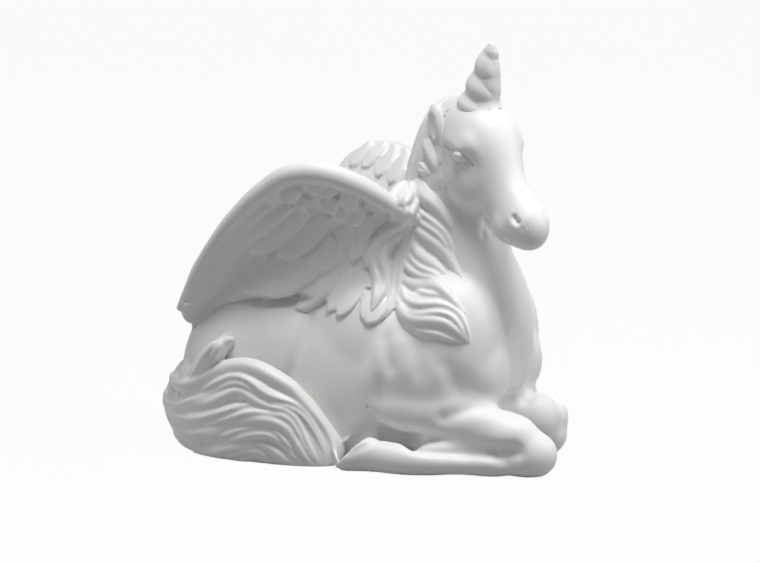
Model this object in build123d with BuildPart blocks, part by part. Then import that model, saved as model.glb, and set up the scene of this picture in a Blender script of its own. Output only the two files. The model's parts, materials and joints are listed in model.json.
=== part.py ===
"""Reclining winged unicorn figurine in unglazed white ceramic, about 124 mm tall.

A figure like this is made up from separate castings, stuck together with slip before firing:
a hollow body on a flat base, the neck and head, the legs, ears and horn, a pair of feathered
wings, the tail and the locks of the mane. Each casting is cut to the face of the one that
carries it. +X is forward, +Y the figure's left and +Z up, and the origin is on the floor in
the middle of the figure's box. Sizes are in millimetres and angles in degrees.
"""

import os
from math import cos, radians, sin

from build123d import *

# Body
BODY_LENGTH = 112.0  # rump to breast
BODY_WIDTH = 60.0  # across the haunches
BACK_HEIGHT = 58.0  # floor to back
WALL = 4.0  # cast thickness of the hollow body
POUR_HOLE_DIAMETER = 14.0  # drain left in the base by casting
OVERRUN = 2.0  # how far every cut runs past the face that it opens
TIP_DIAMETER = 1.6  # blunt end of a modelled taper

# Neck and head
POLL_HEIGHT = 108.0  # floor to the top of the neck
NECK_DEPTH = 42.0  # breast to withers
NECK_WIDTH = 34.0
HEAD_LENGTH = 49.0
HEAD_WIDTH = 23.0
HEAD_DEPTH = 24.0  # forehead to jaw
HEAD_FORWARD = 1.5  # head's axis in front of the poll
HEAD_BELOW_POLL = 7.0
HEAD_TURN = 28.0  # towards the figure's right
HEAD_DROP = 45.0  # below the horizon
EYE_DIAMETER = 5.6
NOSTRIL_LENGTH = 4.0
NOSTRIL_WIDTH = 1.8
EAR_LENGTH = 13.0
EAR_WIDTH = 6.6
EAR_THICKNESS = 4.6
HORN_LENGTH = 20.0  # out of the forehead
HORN_DIAMETER = 10.6
HORN_ROOT = 4.0  # set into the forehead
HORN_LEAN = 14.0
HORN_TURNS = 3.5
HORN_STEPS_PER_TURN = 4

# Legs
KNEE_LENGTH = 19.0
KNEE_DIAMETER = 14.4
FOREARM_DIAMETER = 16.0
CANNON_DIAMETER = 9.4
HOOF_HEIGHT = 11.0
FORELEG_STAGGER = 9.0  # how far the left foreleg is drawn back
THIGH_LENGTH = 48.0
THIGH_WIDTH = 31.0
THIGH_HEIGHT = 54.0
SHOULDER_LENGTH = 35.0
SHOULDER_WIDTH = 25.0
SHOULDER_HEIGHT = 48.0

# Wings
WING_LENGTH = 69.0  # shoulder to tip
WING_RISE = 31.5  # crest of the wing above the back
WING_SPREAD = 62.0  # between the two crests
WING_THICKNESS = 4.4
WING_CUP = 4.0  # depth of the hollow under the wing
FEATHER_WIDTH = 8.6
FEATHER_THICKNESS = 2.6

# Hair
LOCK_WIDTH = 7.0
LOCK_THICKNESS = 5.0
CREST_THICKNESS = 5.4
TAIL_THICKNESS = 8.0
TAIL_LOCK_WIDTH = 8.4
PARTING_WIDTH = 2.2  # groove between two locks of the tail
PARTING_DEPTH = 1.3
TAIL_REACH = 88.0  # length of the oval that the tail follows round the haunch
TAIL_OVAL_WIDTH = 68.0
TAIL_FORWARD = 8.6  # middle of that oval in front of the thigh's middle
TAIL_HEIGHT = 29.0  # floor to the top of the wrapped tail

# Body sections from rump to breast: length, centre height, half width and half height shares
TORSO_SHARES = [
    (-0.509, 0.345, 0.200, 0.240),
    (-0.446, 0.360, 0.333, 0.410),
    (-0.340, 0.345, 0.440, 0.570),
    (-0.180, 0.345, 0.490, 0.635),
    (0.000, 0.345, 0.475, 0.655),
    (0.180, 0.345, 0.433, 0.655),
    (0.320, 0.380, 0.350, 0.520),
    (0.420, 0.480, 0.217, 0.310),
]
RUMP_SHARES = (-0.536, 0.345)
BREAST_SHARES = (0.460, 0.520)
POUR_HOLE_SHARE = 0.0

# Neck sections from the breast up: height, forward, half depth and half width shares
NECK_SHARES = [
    (0.278, 0.268, 0.476, 0.500),
    (0.370, 0.277, 0.500, 0.500),
    (0.481, 0.268, 0.490, 0.456),
    (0.611, 0.258, 0.400, 0.375),
    (0.741, 0.255, 0.310, 0.325),
    (0.852, 0.261, 0.255, 0.290),
    (0.944, 0.283, 0.205, 0.245),
]
POLL_FORWARD_SHARE = 0.286

# Head sections from poll to nose: along, crown offset, half width and half depth shares
HEAD_SHARES = [
    (-0.075, 0.000, 0.260, 0.290),
    (0.060, 0.000, 0.417, 0.458),
    (0.230, 0.012, 0.480, 0.485),
    (0.405, -0.055, 0.395, 0.450),
    (0.560, -0.095, 0.305, 0.375),
    (0.710, -0.055, 0.285, 0.325),
    (0.845, 0.000, 0.290, 0.295),
    (0.940, 0.000, 0.205, 0.210),
]
HEAD_END_SHARES = (-0.125, 0.990)
CHEEK_SHARES = (0.220, 0.300, -0.260)  # half width out, along, crown
CHEEK_SIZE_SHARES = (0.230, 0.420, 0.240)  # across, in depth and along
EYE_SHARES = (0.425, 0.290, 0.075)
NOSTRIL_SHARES = (0.205, 0.900, 0.165)
HORN_SEAT_SHARES = (0.065, 0.317)  # along and crown
HORN_WIND_SHARE = 0.10  # how far the circles stand off the axis
HORN_PROFILE_SHARES = [(0.00, 1.00), (0.35, 0.88), (0.65, 0.68), (0.85, 0.44), (1.00, 0.20)]
EAR_SHARES = (0.400, 0.000, -0.110)

# Foreleg from hoof to knee and from knee to elbow: length, width and height shares
HOOF_WIDTH_SHARE = 0.42  # half width of a hoof against its height
HOOF_SHARES = [(0.085, 0.545, 0.085), (0.125, 0.525, 0.090)]
CANNON_SHARES = [(0.180, 0.508, 0.083), (0.305, 0.458, 0.080), (0.430, 0.370, 0.085), (0.500, 0.300, 0.095)]
KNEE_SHARES = (0.535, 0.260, 0.115)
FOREARM_SHARES = [(0.430, 0.290, 0.225), (0.330, 0.325, 0.290), (0.220, 0.370, 0.310)]
ELBOW_SHARES = (0.130, 0.370, 0.310)
ELBOW_WIDTH_SHARE = 0.6
SHOULDER_SHARES = (0.285, 0.235, 0.570)
SHOULDER_TILT = 12.0
THIGH_SHARES = (-0.255, 0.285, 0.345)
HOCK_SHARES = [(-0.400, 0.400, 0.100), (-0.300, 0.510, 0.095), (-0.180, 0.545, 0.085), (-0.090, 0.545, 0.088)]
HOCK_END_SHARES = [(-0.460, 0.300, 0.110), (-0.045, 0.540, 0.085)]

# Wing ribs from shoulder to tip: length, top height, bottom height, top spread and
# bottom spread shares. Heights are shares of the rise, measured from the back
RIB_SHARES = [
    (0.00, 0.520, -0.380, 0.200, 0.300),
    (0.15, 0.790, -0.450, 0.320, 0.345),
    (0.30, 0.945, -0.370, 0.435, 0.365),
    (0.45, 0.915, -0.290, 0.490, 0.375),
    (0.60, 0.670, -0.310, 0.505, 0.385),
    (0.75, 0.350, -0.410, 0.495, 0.390),
    (0.90, -0.080, -0.550, 0.475, 0.375),
    (1.00, -0.500, -0.720, 0.440, 0.385),
]
WING_ROOT_SHARE = 0.190  # of the body's length
# Feather rows: first and last (length, drop) shares of the bases, then of the tips
FEATHER_ROWS_SHARES = [
    (8, (0.78, 0.40), (0.16, 0.50), (0.970, 0.92), (0.070, 1.00)),
    (7, (0.60, 0.22), (0.18, 0.26), (0.860, 0.56), (0.100, 0.68)),
]
FEATHER_PROFILE_SHARES = [(0.0, 0.35), (0.25, 0.80), (0.60, 1.00), (0.88, 0.80), (1.0, 0.25)]

# Mane locks down the neck: height share of the poll and angle round the neck
CREST_PATHS_SHARES = [
    [(0.965, 190), (0.920, 188), (0.850, 186), (0.755, 186), (0.680, 190), (0.600, 200)],
    [(0.955, 218), (0.905, 222), (0.830, 216), (0.760, 210), (0.700, 208), (0.620, 216)],
    [(0.955, 150), (0.905, 146), (0.830, 150), (0.760, 154), (0.700, 156), (0.620, 150)],
]
LOCK_PATHS_SHARES = [
    [(0.930, 236), (0.860, 238), (0.780, 238), (0.690, 240), (0.600, 240), (0.500, 240)],
    [(0.930, 240), (0.880, 244), (0.830, 258), (0.790, 274), (0.755, 282)],
    [(0.880, 234), (0.810, 236), (0.740, 250), (0.690, 270), (0.640, 285), (0.590, 296)],
    [(0.820, 232), (0.740, 234), (0.680, 246), (0.625, 270), (0.570, 288), (0.510, 298)],
    [(0.640, 238), (0.590, 248), (0.550, 262), (0.540, 282), (0.500, 298)],
    [(0.600, 236), (0.530, 242), (0.490, 256), (0.475, 278), (0.415, 298)],
    [(0.540, 236), (0.470, 240), (0.430, 254), (0.400, 276), (0.340, 300)],
]
LOCK_PROFILE_SHARE = 0.62  # width of a lock's shoulders against its middle
LIFT_SHARE = 0.26  # how far the lowest locks are lifted to lie over the shoulder
LIFT_HEIGHT_SHARES = (0.340, 0.580)

# The tail round the haunch: angle round the oval, middle height and breadth shares of its height
TAIL_SWEEP_SHARES = [
    (194, 0.52, 0.60),
    (212, 0.36, 1.00),
    (236, 0.34, 1.06),
    (258, 0.40, 1.16),
    (276, 0.42, 1.10),
    (290, 0.26, 0.84),
    (300, 0.12, 0.56),
    (307, 0.02, 0.36),
]
# Its locks: angle round the oval and share of the tail's height
TAIL_FLICK_SHARES = [(258, 1.24), (250, 1.12), (240, 0.92), (230, 0.70), (222, 0.52)]
TAIL_PARTINGS_SHARES = [
    [(208, 0.62), (226, 0.54), (246, 0.64), (264, 0.76), (280, 0.68), (292, 0.46)],
    [(206, 0.44), (226, 0.39), (246, 0.46), (264, 0.58), (280, 0.54), (294, 0.34)],
    [(206, 0.25), (226, 0.23), (246, 0.28), (264, 0.38), (280, 0.38), (294, 0.22)],
    [(210, 0.10), (228, 0.09), (248, 0.12), (266, 0.20), (280, 0.22), (292, 0.10)],
]
TAIL_LEAN_SHARE = 0.17  # how far the oval draws in towards the top of the tail

RIGHT = -1
LEFT = 1


def body_point(length_share, width_share, height_share, side=LEFT):
    """A point given as shares of the body's length, width and height."""
    return Vector(
        length_share * BODY_LENGTH, side * width_share * BODY_WIDTH, height_share * BACK_HEIGHT
    )


def oval(plane, half_width=TIP_DIAMETER / 2, half_height=TIP_DIAMETER / 2):
    """One oval section for a loft, or the blunt end of one."""
    with BuildSketch(plane) as section:
        Ellipse(half_width, half_height)
    return section.sketch.face()


def egg(centre, half_sizes, turn=(0, 0, 0)):
    """A closed egg of the given half sizes, turned about its own middle."""
    with BuildPart() as form:
        Sphere(1)
        scale(by=half_sizes)
    return Location(centre, turn) * form.part


def limb_sections(stations, first, last):
    """Ovals square to a limb's line through (centre, half width, half height) stations."""
    ends = TIP_DIAMETER / 2, TIP_DIAMETER / 2
    stations = [(first, *ends), *stations, (last, *ends)]
    centres = [station[0] for station in stations]
    alongs = [after - before for before, after in zip([first, *centres], [*centres[1:], last])]
    sections = []
    for (centre, half_width, half_height), along in zip(stations, alongs):
        across = Vector(0, 0, 1).cross(along)
        plane = Plane(origin=centre, x_dir=across, z_dir=along)
        sections.append(oval(plane, half_width, half_height))
    return sections


def lock_sections(points, outwards, widths, thickness):
    """Flat ovals along a lock of hair that lies on a surface, blunt at both ends."""
    last = len(points) - 1
    sections = []
    for index, (point, outward, width) in enumerate(zip(points, outwards, widths)):
        along = points[min(index + 1, last)] - points[max(index - 1, 0)]
        plane = Plane(origin=point, x_dir=along.cross(outward), z_dir=along)
        deep = TIP_DIAMETER if index in (0, last) else thickness
        sections.append(oval(plane, width / 2, deep / 2))
    return sections


def lock_widths(count, width):
    """Widths along a lock: blunt ends, narrow shoulders and a full middle."""
    shoulder = width * LOCK_PROFILE_SHARE
    return [TIP_DIAMETER, shoulder, *[width] * (count - 4), shoulder, TIP_DIAMETER]


def between(table, place):
    """A row of a table of sections at a place given in its first column."""
    for low, high in zip(table, table[1:]):
        if place <= high[0]:
            break
    share = (place - low[0]) / (high[0] - low[0])
    return [a + share * (b - a) for a, b in zip(low, high)]


def neck_surface(height_share, angle):
    """A point on the neck and the way out of it, by height and angle round from the front."""
    height, forward, half_depth, half_width = between(NECK_SHARES, height_share)
    out = Vector(
        cos(radians(angle)) * half_depth * NECK_DEPTH, sin(radians(angle)) * half_width * NECK_WIDTH
    )
    low, high = LIFT_HEIGHT_SHARES
    lift = max(0, (high - height_share) / (high - low)) * LIFT_SHARE * SHOULDER_WIDTH
    middle = Vector(forward * BODY_LENGTH, 0, height_share * POLL_HEIGHT)
    return middle + out + out.normalized() * lift, out.normalized()


def haunch_surface(angle, height_share):
    """A point on the oval that the tail follows and the way out of it."""
    half_reach = TAIL_REACH / 2 * (1 - TAIL_LEAN_SHARE * height_share)
    out = Vector(cos(radians(angle)) * half_reach, sin(radians(angle)) * TAIL_OVAL_WIDTH / 2)
    middle = Vector(THIGH_SHARES[0] * BODY_LENGTH + TAIL_FORWARD, 0, height_share * TAIL_HEIGHT)
    return middle + out, out.normalized()


def tail_face(angle, height_share):
    """A point on the outer face of the tail and the way out of it."""
    point, outward = haunch_surface(angle, height_share)
    return point + outward * TAIL_THICKNESS / 2, outward


def wing_point(length_share, drop_share):
    """A point in the middle of the right wing, from shoulder to tip and from crest to hem."""
    _, top, bottom, top_out, bottom_out = between(RIB_SHARES, length_share)
    cup = WING_CUP * min(1, top - bottom) * 4 * drop_share * (1 - drop_share)
    out = (top_out + drop_share * (bottom_out - top_out)) * WING_SPREAD - cup
    return Vector(
        WING_ROOT_SHARE * BODY_LENGTH - length_share * WING_LENGTH,
        RIGHT * out,
        BACK_HEIGHT + (top + drop_share * (bottom - top)) * WING_RISE,
    )


def wing_rib(length_share):
    """One upright section of the right wing: a cupped blade with a thick crest."""
    out = Vector(0, RIGHT * WING_THICKNESS / 2, 0)
    hem = out / 2
    top, middle, bottom = (wing_point(length_share, drop) for drop in (0, 0.5, 1))
    plane = Plane(origin=(top.X, 0, 0), x_dir=(0, 1, 0), z_dir=(1, 0, 0))
    crest = top + Vector(0, 0, WING_THICKNESS / 2)
    corners = [top + out, middle + out, bottom + hem, bottom - hem, middle - out, top - out, crest]
    flat = [(corner.Y, corner.Z) for corner in corners]
    with BuildSketch(plane) as rib:
        with BuildLine():
            ThreePointArc(flat[0], flat[1], flat[2])
            Line(flat[2], flat[3])
            ThreePointArc(flat[3], flat[4], flat[5])
            ThreePointArc(flat[5], flat[6], flat[0])
        make_face()
    return rib.sketch.face()


def feather_sections(base, tip):
    """Flat ovals of one feather lying on the underside of the right wing."""
    start, end = wing_point(*base), wing_point(*tip)
    along = end - start
    sections = []
    for share, width_share in FEATHER_PROFILE_SHARES:
        place = [a + share * (b - a) for a, b in zip(base, tip)]
        point = wing_point(*place)
        step = wing_point(place[0], place[1] - 0.05) - point
        outward = step.cross(Vector(1, 0, 0)).normalized()
        outward = outward * (1 if outward.Y < 0 else -1)
        plane = Plane(
            origin=point + outward * WING_THICKNESS / 2, x_dir=along.cross(outward), z_dir=along
        )
        sections.append(oval(plane, width_share * FEATHER_WIDTH / 2, FEATHER_THICKNESS / 2))
    return sections


def head_point(side, out_share, along_share, crown_share):
    """A point in the head's own frame, by shares of its width, length and depth."""
    return head_frame.from_local_coords(
        (side * out_share * HEAD_WIDTH, crown_share * HEAD_DEPTH, along_share * HEAD_LENGTH)
    )


# The floor, which trims every casting that reaches it
floor_size = 2 * BODY_LENGTH
with BuildPart() as floor:
    Box(floor_size, floor_size, floor_size, align=(Align.CENTER, Align.CENTER, Align.MAX))

# Body: the outer form, then the hollow casting with its pour hole
torso_planes = [
    Plane(origin=body_point(length, 0, height), x_dir=(0, 1, 0), z_dir=(1, 0, 0))
    for length, height, _, _ in TORSO_SHARES
]
torso_halves = [
    (half_width * BODY_WIDTH, half_height * BACK_HEIGHT) for _, _, half_width, half_height in TORSO_SHARES
]
rump = body_point(RUMP_SHARES[0], 0, RUMP_SHARES[1])
breast = body_point(BREAST_SHARES[0], 0, BREAST_SHARES[1])
with BuildPart() as torso_form:
    outer = [oval(plane, *halves) for plane, halves in zip(torso_planes, torso_halves)]
    rump_end = oval(Plane(origin=rump, x_dir=(0, 1, 0), z_dir=(1, 0, 0)))
    breast_end = oval(Plane(origin=breast, x_dir=(0, 1, 0), z_dir=(1, 0, 0)))
    loft([rump_end, *outer, breast_end])
    add(floor.part, mode=Mode.SUBTRACT)

with BuildPart() as cavity:
    inner = [
        oval(plane, half_width - WALL, half_height - WALL)
        for plane, (half_width, half_height) in zip(torso_planes[1:-1], torso_halves[1:-1])
    ]
    loft(inner)
    add(Location((0, 0, WALL)) * floor.part, mode=Mode.SUBTRACT)

with BuildPart() as torso:
    add(torso_form.part)
    add(cavity.part, mode=Mode.SUBTRACT)
    with BuildSketch(Plane.XY.offset(-OVERRUN)):
        with Locations((POUR_HOLE_SHARE * BODY_LENGTH, 0)):
            Circle(POUR_HOLE_DIAMETER / 2)
    extrude(amount=WALL + 2 * OVERRUN, mode=Mode.SUBTRACT)

# Head, in a frame with +X to its left, +Y to its crown and +Z to its nose
turn, drop = radians(HEAD_TURN), radians(HEAD_DROP)
head_heading = Vector(cos(turn), -sin(turn), 0)
poll = Vector(POLL_FORWARD_SHARE * BODY_LENGTH, 0, POLL_HEIGHT)
head_frame = Plane(
    origin=poll + head_heading * HEAD_FORWARD - Vector(0, 0, HEAD_BELOW_POLL),
    x_dir=(sin(turn), cos(turn), 0),
    z_dir=head_heading * cos(drop) - Vector(0, 0, sin(drop)),
)
head_turned = head_frame.location.orientation
with BuildPart() as head_form:
    head_sections = [oval(head_frame.offset(HEAD_END_SHARES[0] * HEAD_LENGTH))]
    for along, crown, half_width, half_depth in HEAD_SHARES:
        section_plane = Plane(
            origin=head_point(LEFT, 0, along, crown), x_dir=head_frame.x_dir, z_dir=head_frame.z_dir
        )
        head_sections.append(oval(section_plane, half_width * HEAD_WIDTH, half_depth * HEAD_DEPTH))
    head_sections.append(oval(head_frame.offset(HEAD_END_SHARES[1] * HEAD_LENGTH)))
    loft(head_sections)
    for side in (RIGHT, LEFT):
        cheek_sizes = (
            CHEEK_SIZE_SHARES[0] * HEAD_WIDTH,
            CHEEK_SIZE_SHARES[1] * HEAD_DEPTH,
            CHEEK_SIZE_SHARES[2] * HEAD_LENGTH,
        )
        add(egg(head_point(side, *CHEEK_SHARES), cheek_sizes, head_turned))
        add(egg(head_point(side, *EYE_SHARES), (EYE_DIAMETER / 2,) * 3))

# Horn: circles whose centres wind round the axis, left-handed, set into the forehead
horn_seat = head_point(LEFT, 0, *HORN_SEAT_SHARES)
horn_lean = radians(HORN_LEAN)
horn_axis = head_heading * sin(horn_lean) + Vector(0, 0, cos(horn_lean))
horn_plane = Plane(origin=horn_seat, x_dir=head_frame.x_dir, z_dir=horn_axis)
with BuildPart() as horn:
    steps = int(HORN_TURNS * HORN_STEPS_PER_TURN)
    root_steps = int(HORN_ROOT / HORN_LENGTH * steps) + 1
    horn_sections = []
    for step in range(-root_steps, steps):
        rise = step / steps
        radius = HORN_DIAMETER / 2 * between(HORN_PROFILE_SHARES, max(rise, 0))[1]
        wind = radians(-360 * step / HORN_STEPS_PER_TURN)
        stand_off = radius * HORN_WIND_SHARE
        centre = horn_plane.from_local_coords(
            (stand_off * cos(wind), stand_off * sin(wind), rise * HORN_LENGTH)
        )
        section_plane = Plane(origin=centre, x_dir=horn_plane.x_dir, z_dir=horn_axis)
        horn_sections.append(oval(section_plane, radius, radius))
    horn_sections.append(oval(horn_plane.offset(HORN_LENGTH)))
    loft(horn_sections)

with BuildPart() as head:
    add(head_form.part)
    add(horn.part, mode=Mode.SUBTRACT)
    for side in (RIGHT, LEFT):
        nostril_sizes = (NOSTRIL_WIDTH / 2, NOSTRIL_LENGTH / 2, NOSTRIL_WIDTH)
        add(egg(head_point(side, *NOSTRIL_SHARES), nostril_sizes, head_turned), mode=Mode.SUBTRACT)


def ear(side):
    """A leaf-shaped ear laid back on the side of the head, hollowed on its outer face."""
    sizes = Vector(EAR_THICKNESS / 2, EAR_WIDTH / 2, EAR_LENGTH / 2)
    lie = Plane(
        origin=head_point(side, *EAR_SHARES),
        x_dir=head_frame.x_dir * side,
        z_dir=Vector(0, 0, 1) - head_heading * sin(horn_lean),
    )
    hollow_centre = lie.from_local_coords((EAR_THICKNESS / 2, 0, 0))
    hollow_sizes = (sizes.X / 2, sizes.Y - EAR_THICKNESS / 4, sizes.Z - EAR_THICKNESS / 2)
    with BuildPart() as leaf:
        add(egg(lie.origin, tuple(sizes), lie.location.orientation))
        add(egg(hollow_centre, hollow_sizes, lie.location.orientation), mode=Mode.SUBTRACT)
        add(head_form.part, mode=Mode.SUBTRACT)
        add(neck_form.part, mode=Mode.SUBTRACT)
    return leaf.part


# Neck, cut to the body below it and the head in front of it
with BuildPart() as neck_form:
    neck_sections = []
    for height, forward, half_depth, half_width in NECK_SHARES:
        section_plane = Plane(origin=(forward * BODY_LENGTH, 0, height * POLL_HEIGHT))
        neck_sections.append(oval(section_plane, half_depth * NECK_DEPTH, half_width * NECK_WIDTH))
    loft([*neck_sections, oval(Plane(origin=poll))])
with BuildPart() as neck:
    add(neck_form.part)
    add(torso_form.part, mode=Mode.SUBTRACT)
    add(head_form.part, mode=Mode.SUBTRACT)


def foreleg(side, drawn_back):
    """A folded foreleg with its shoulder: hoof, cannon, knee, forearm and shoulder blade."""
    shift = Vector(-drawn_back, 0, 0)

    def place(shares):
        return body_point(*shares, side) + shift

    knee = place(KNEE_SHARES)
    hoof_tip = place(HOOF_SHARES[0]) - Vector(HOOF_HEIGHT / 4, 0, 0)
    lower = [(place(shares), HOOF_HEIGHT * HOOF_WIDTH_SHARE, HOOF_HEIGHT / 2) for shares in HOOF_SHARES]
    lower += [(place(shares), CANNON_DIAMETER / 2, CANNON_DIAMETER / 2) for shares in CANNON_SHARES]
    forearm = FOREARM_DIAMETER / 2
    upper = [(place(shares), forearm, forearm) for shares in FOREARM_SHARES]
    upper.append((place(ELBOW_SHARES), forearm * ELBOW_WIDTH_SHARE, forearm * ELBOW_WIDTH_SHARE))
    elbow_end = place(ELBOW_SHARES) - Vector(forearm * ELBOW_WIDTH_SHARE, 0, 0)
    knee_sizes = (KNEE_LENGTH / 2, KNEE_DIAMETER / 2, KNEE_DIAMETER / 2)
    blade_sizes = (SHOULDER_LENGTH / 2, SHOULDER_WIDTH / 2, SHOULDER_HEIGHT / 2)
    with BuildPart() as leg:
        loft(limb_sections(lower, hoof_tip, knee))
        loft(limb_sections(upper, knee, elbow_end))
        add(egg(knee, knee_sizes, (0, SHOULDER_TILT, -side * HEAD_TURN)))
        add(egg(body_point(*SHOULDER_SHARES, side), blade_sizes, (0, SHOULDER_TILT, 0)))
        add(floor.part, mode=Mode.SUBTRACT)
        add(torso_form.part, mode=Mode.SUBTRACT)
        add(neck_form.part, mode=Mode.SUBTRACT)
    return leg.part


def hind_leg(side):
    """A folded hind leg: the thigh, and the cannon and hoof where the tail leaves them bare."""
    thigh_sizes = (THIGH_LENGTH / 2, THIGH_WIDTH / 2, THIGH_HEIGHT / 2)
    first, last = (body_point(*shares, side) for shares in HOCK_END_SHARES)
    half = CANNON_DIAMETER / 2
    stations = [(body_point(*shares, side), half, half) for shares in HOCK_SHARES]
    with BuildPart() as leg:
        add(egg(body_point(*THIGH_SHARES, side), thigh_sizes, (0, -SHOULDER_TILT, 0)))
        if side == LEFT:
            loft(limb_sections(stations, first, last))
        add(floor.part, mode=Mode.SUBTRACT)
        add(torso_form.part, mode=Mode.SUBTRACT)
    return leg.part


def hair(paths, surface, width, thickness, side=RIGHT):
    """Locks of hair that lie along paths on a surface, run together into one form."""
    with BuildPart() as locks:
        forms = []
        for path in paths:
            places = [surface(*place) for place in path]
            points = [point for point, _ in places]
            outwards = [outward for _, outward in places]
            widths = lock_widths(len(path), width)
            forms.append(loft(lock_sections(points, outwards, widths, thickness), mode=Mode.PRIVATE))
        add(forms)
        if side == LEFT:
            mirror(about=Plane.XZ, mode=Mode.REPLACE)
    return locks.part


def cut(form, *neighbours):
    """A form with its neighbours' solids taken off, so that it sits face to face on them."""
    with BuildPart() as piece:
        add(form)
        for neighbour in neighbours:
            add(neighbour, mode=Mode.SUBTRACT)
    return piece.part


# Mane, cut to the neck and head that carry it
right_ear, left_ear = ear(RIGHT), ear(LEFT)
bed = (neck_form.part, head_form.part, torso_form.part)
crest_form = hair(CREST_PATHS_SHARES, neck_surface, LOCK_WIDTH, CREST_THICKNESS)
mane_crest = cut(crest_form, *bed, right_ear, left_ear)
right_form = hair(LOCK_PATHS_SHARES, neck_surface, LOCK_WIDTH, LOCK_THICKNESS)
right_mane = cut(right_form, *bed, right_ear, mane_crest)
left_form = hair(LOCK_PATHS_SHARES, neck_surface, LOCK_WIDTH, LOCK_THICKNESS, LEFT)
left_mane = cut(left_form, *bed, left_ear, mane_crest)

# Legs, with the lowest locks let into the shoulders
right_foreleg = cut(foreleg(RIGHT, 0), right_mane)
left_foreleg = cut(foreleg(LEFT, FORELEG_STAGGER), left_mane)
right_hind_leg = hind_leg(RIGHT)
left_hind_leg = hind_leg(LEFT)

# Wings: a cupped blade with rows of feathers on its underside
with BuildPart() as wing_form:
    forms = [loft([wing_rib(row[0]) for row in RIB_SHARES], mode=Mode.PRIVATE)]
    for count, first_base, last_base, first_tip, last_tip in FEATHER_ROWS_SHARES:
        for feather in range(count):
            step = feather / (count - 1)
            base = [a + step * (b - a) for a, b in zip(first_base, last_base)]
            tip = [a + step * (b - a) for a, b in zip(first_tip, last_tip)]
            forms.append(loft(feather_sections(base, tip), mode=Mode.PRIVATE))
    add(forms)
wing_bed = (torso_form.part, neck_form.part)
right_wing = cut(wing_form.part, *wing_bed, right_foreleg, right_hind_leg, right_mane)
left_wing = cut(mirror(wing_form.part, about=Plane.XZ), *wing_bed, left_foreleg, left_hind_leg, left_mane)

# Tail, cut to the floor and to everything that it lies on
with BuildPart() as tail_form:
    places = [haunch_surface(angle, height) for angle, height, _ in TAIL_SWEEP_SHARES]
    points = [point for point, _ in places]
    outwards = [outward for _, outward in places]
    breadths = [breadth * TAIL_HEIGHT for _, _, breadth in TAIL_SWEEP_SHARES]
    sweep = loft(lock_sections(points, outwards, breadths, TAIL_THICKNESS), mode=Mode.PRIVATE)
    add([sweep, hair([TAIL_FLICK_SHARES], haunch_surface, TAIL_LOCK_WIDTH, TAIL_THICKNESS)])
    partings = hair(TAIL_PARTINGS_SHARES, tail_face, PARTING_WIDTH, 2 * PARTING_DEPTH)
    add(partings, mode=Mode.SUBTRACT)
tail_bed = (floor.part, torso_form.part, right_hind_leg, left_hind_leg, right_foreleg, right_wing)
tail = cut(tail_form.part, *tail_bed)

# Every casting, moved together so that the origin is under the middle of the figure's box
pieces = {
    "torso": torso.part,
    "neck": neck.part,
    "head": head.part,
    "horn": horn.part,
    "right_ear": right_ear,
    "left_ear": left_ear,
    "right_foreleg": right_foreleg,
    "left_foreleg": left_foreleg,
    "right_hind_leg": right_hind_leg,
    "left_hind_leg": left_hind_leg,
    "right_wing": right_wing,
    "left_wing": left_wing,
    "tail": tail,
    "mane_crest": mane_crest,
    "right_mane": right_mane,
    "left_mane": left_mane,
}
boxes = [piece.bounding_box() for piece in pieces.values()]
middle_x = (min(box.min.X for box in boxes) + max(box.max.X for box in boxes)) / 2
middle_y = (min(box.min.Y for box in boxes) + max(box.max.Y for box in boxes)) / 2
os.makedirs("parts", exist_ok=True)
for name, piece in pieces.items():
    piece = Location((-middle_x, -middle_y, 0)) * piece
    piece.label = name
    export_step(piece, f"parts/{name}.step")
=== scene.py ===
"""Looks of a reclining winged unicorn figurine in unglazed white bisque.

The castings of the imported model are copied, run together where the clay was smoothed over, and
carved: feathers on both faces of the wings, strands in the mane and tail, a spiral on the horn,
and the eyes, nostrils and folds of the body. Sizes are in millimetres times MM, in the row frame.
"""

import json
from math import atan2, cos, pi, radians, sin

import bmesh
import bpy
import numpy as np
from bpy.props import FloatProperty, FloatVectorProperty, PointerProperty
from mathutils import Matrix, Vector
from mathutils.bvhtree import BVHTree

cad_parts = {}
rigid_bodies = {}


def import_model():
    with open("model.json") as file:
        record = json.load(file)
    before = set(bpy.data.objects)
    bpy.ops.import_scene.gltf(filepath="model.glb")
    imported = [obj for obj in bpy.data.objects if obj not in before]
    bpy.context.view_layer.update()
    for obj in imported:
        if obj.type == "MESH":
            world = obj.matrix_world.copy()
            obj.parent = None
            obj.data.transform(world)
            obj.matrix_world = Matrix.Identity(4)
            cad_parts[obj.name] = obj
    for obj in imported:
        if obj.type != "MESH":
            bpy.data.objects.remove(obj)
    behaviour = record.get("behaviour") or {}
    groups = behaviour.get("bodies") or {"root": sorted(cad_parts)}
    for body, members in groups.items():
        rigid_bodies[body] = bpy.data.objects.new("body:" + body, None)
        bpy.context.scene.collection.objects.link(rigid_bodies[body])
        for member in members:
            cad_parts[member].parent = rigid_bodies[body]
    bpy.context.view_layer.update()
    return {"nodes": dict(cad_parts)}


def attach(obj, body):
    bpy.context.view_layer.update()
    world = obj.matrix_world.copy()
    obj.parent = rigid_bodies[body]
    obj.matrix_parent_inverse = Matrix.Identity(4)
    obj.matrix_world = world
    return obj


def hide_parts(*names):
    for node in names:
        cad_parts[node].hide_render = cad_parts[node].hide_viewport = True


bl_info = {
    "name": "Winged Unicorn Figurine",
    "version": (1, 0, 0),
    "blender": (4, 5, 0),
    "location": "View3D > Sidebar > Figurine",
    "description": "Models the carved bisque castings of a reclining winged unicorn",
    "category": "Object",
}

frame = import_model()
MM = 0.001
ROOT = "root"
RIGHT, LEFT = -1, 1

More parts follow.
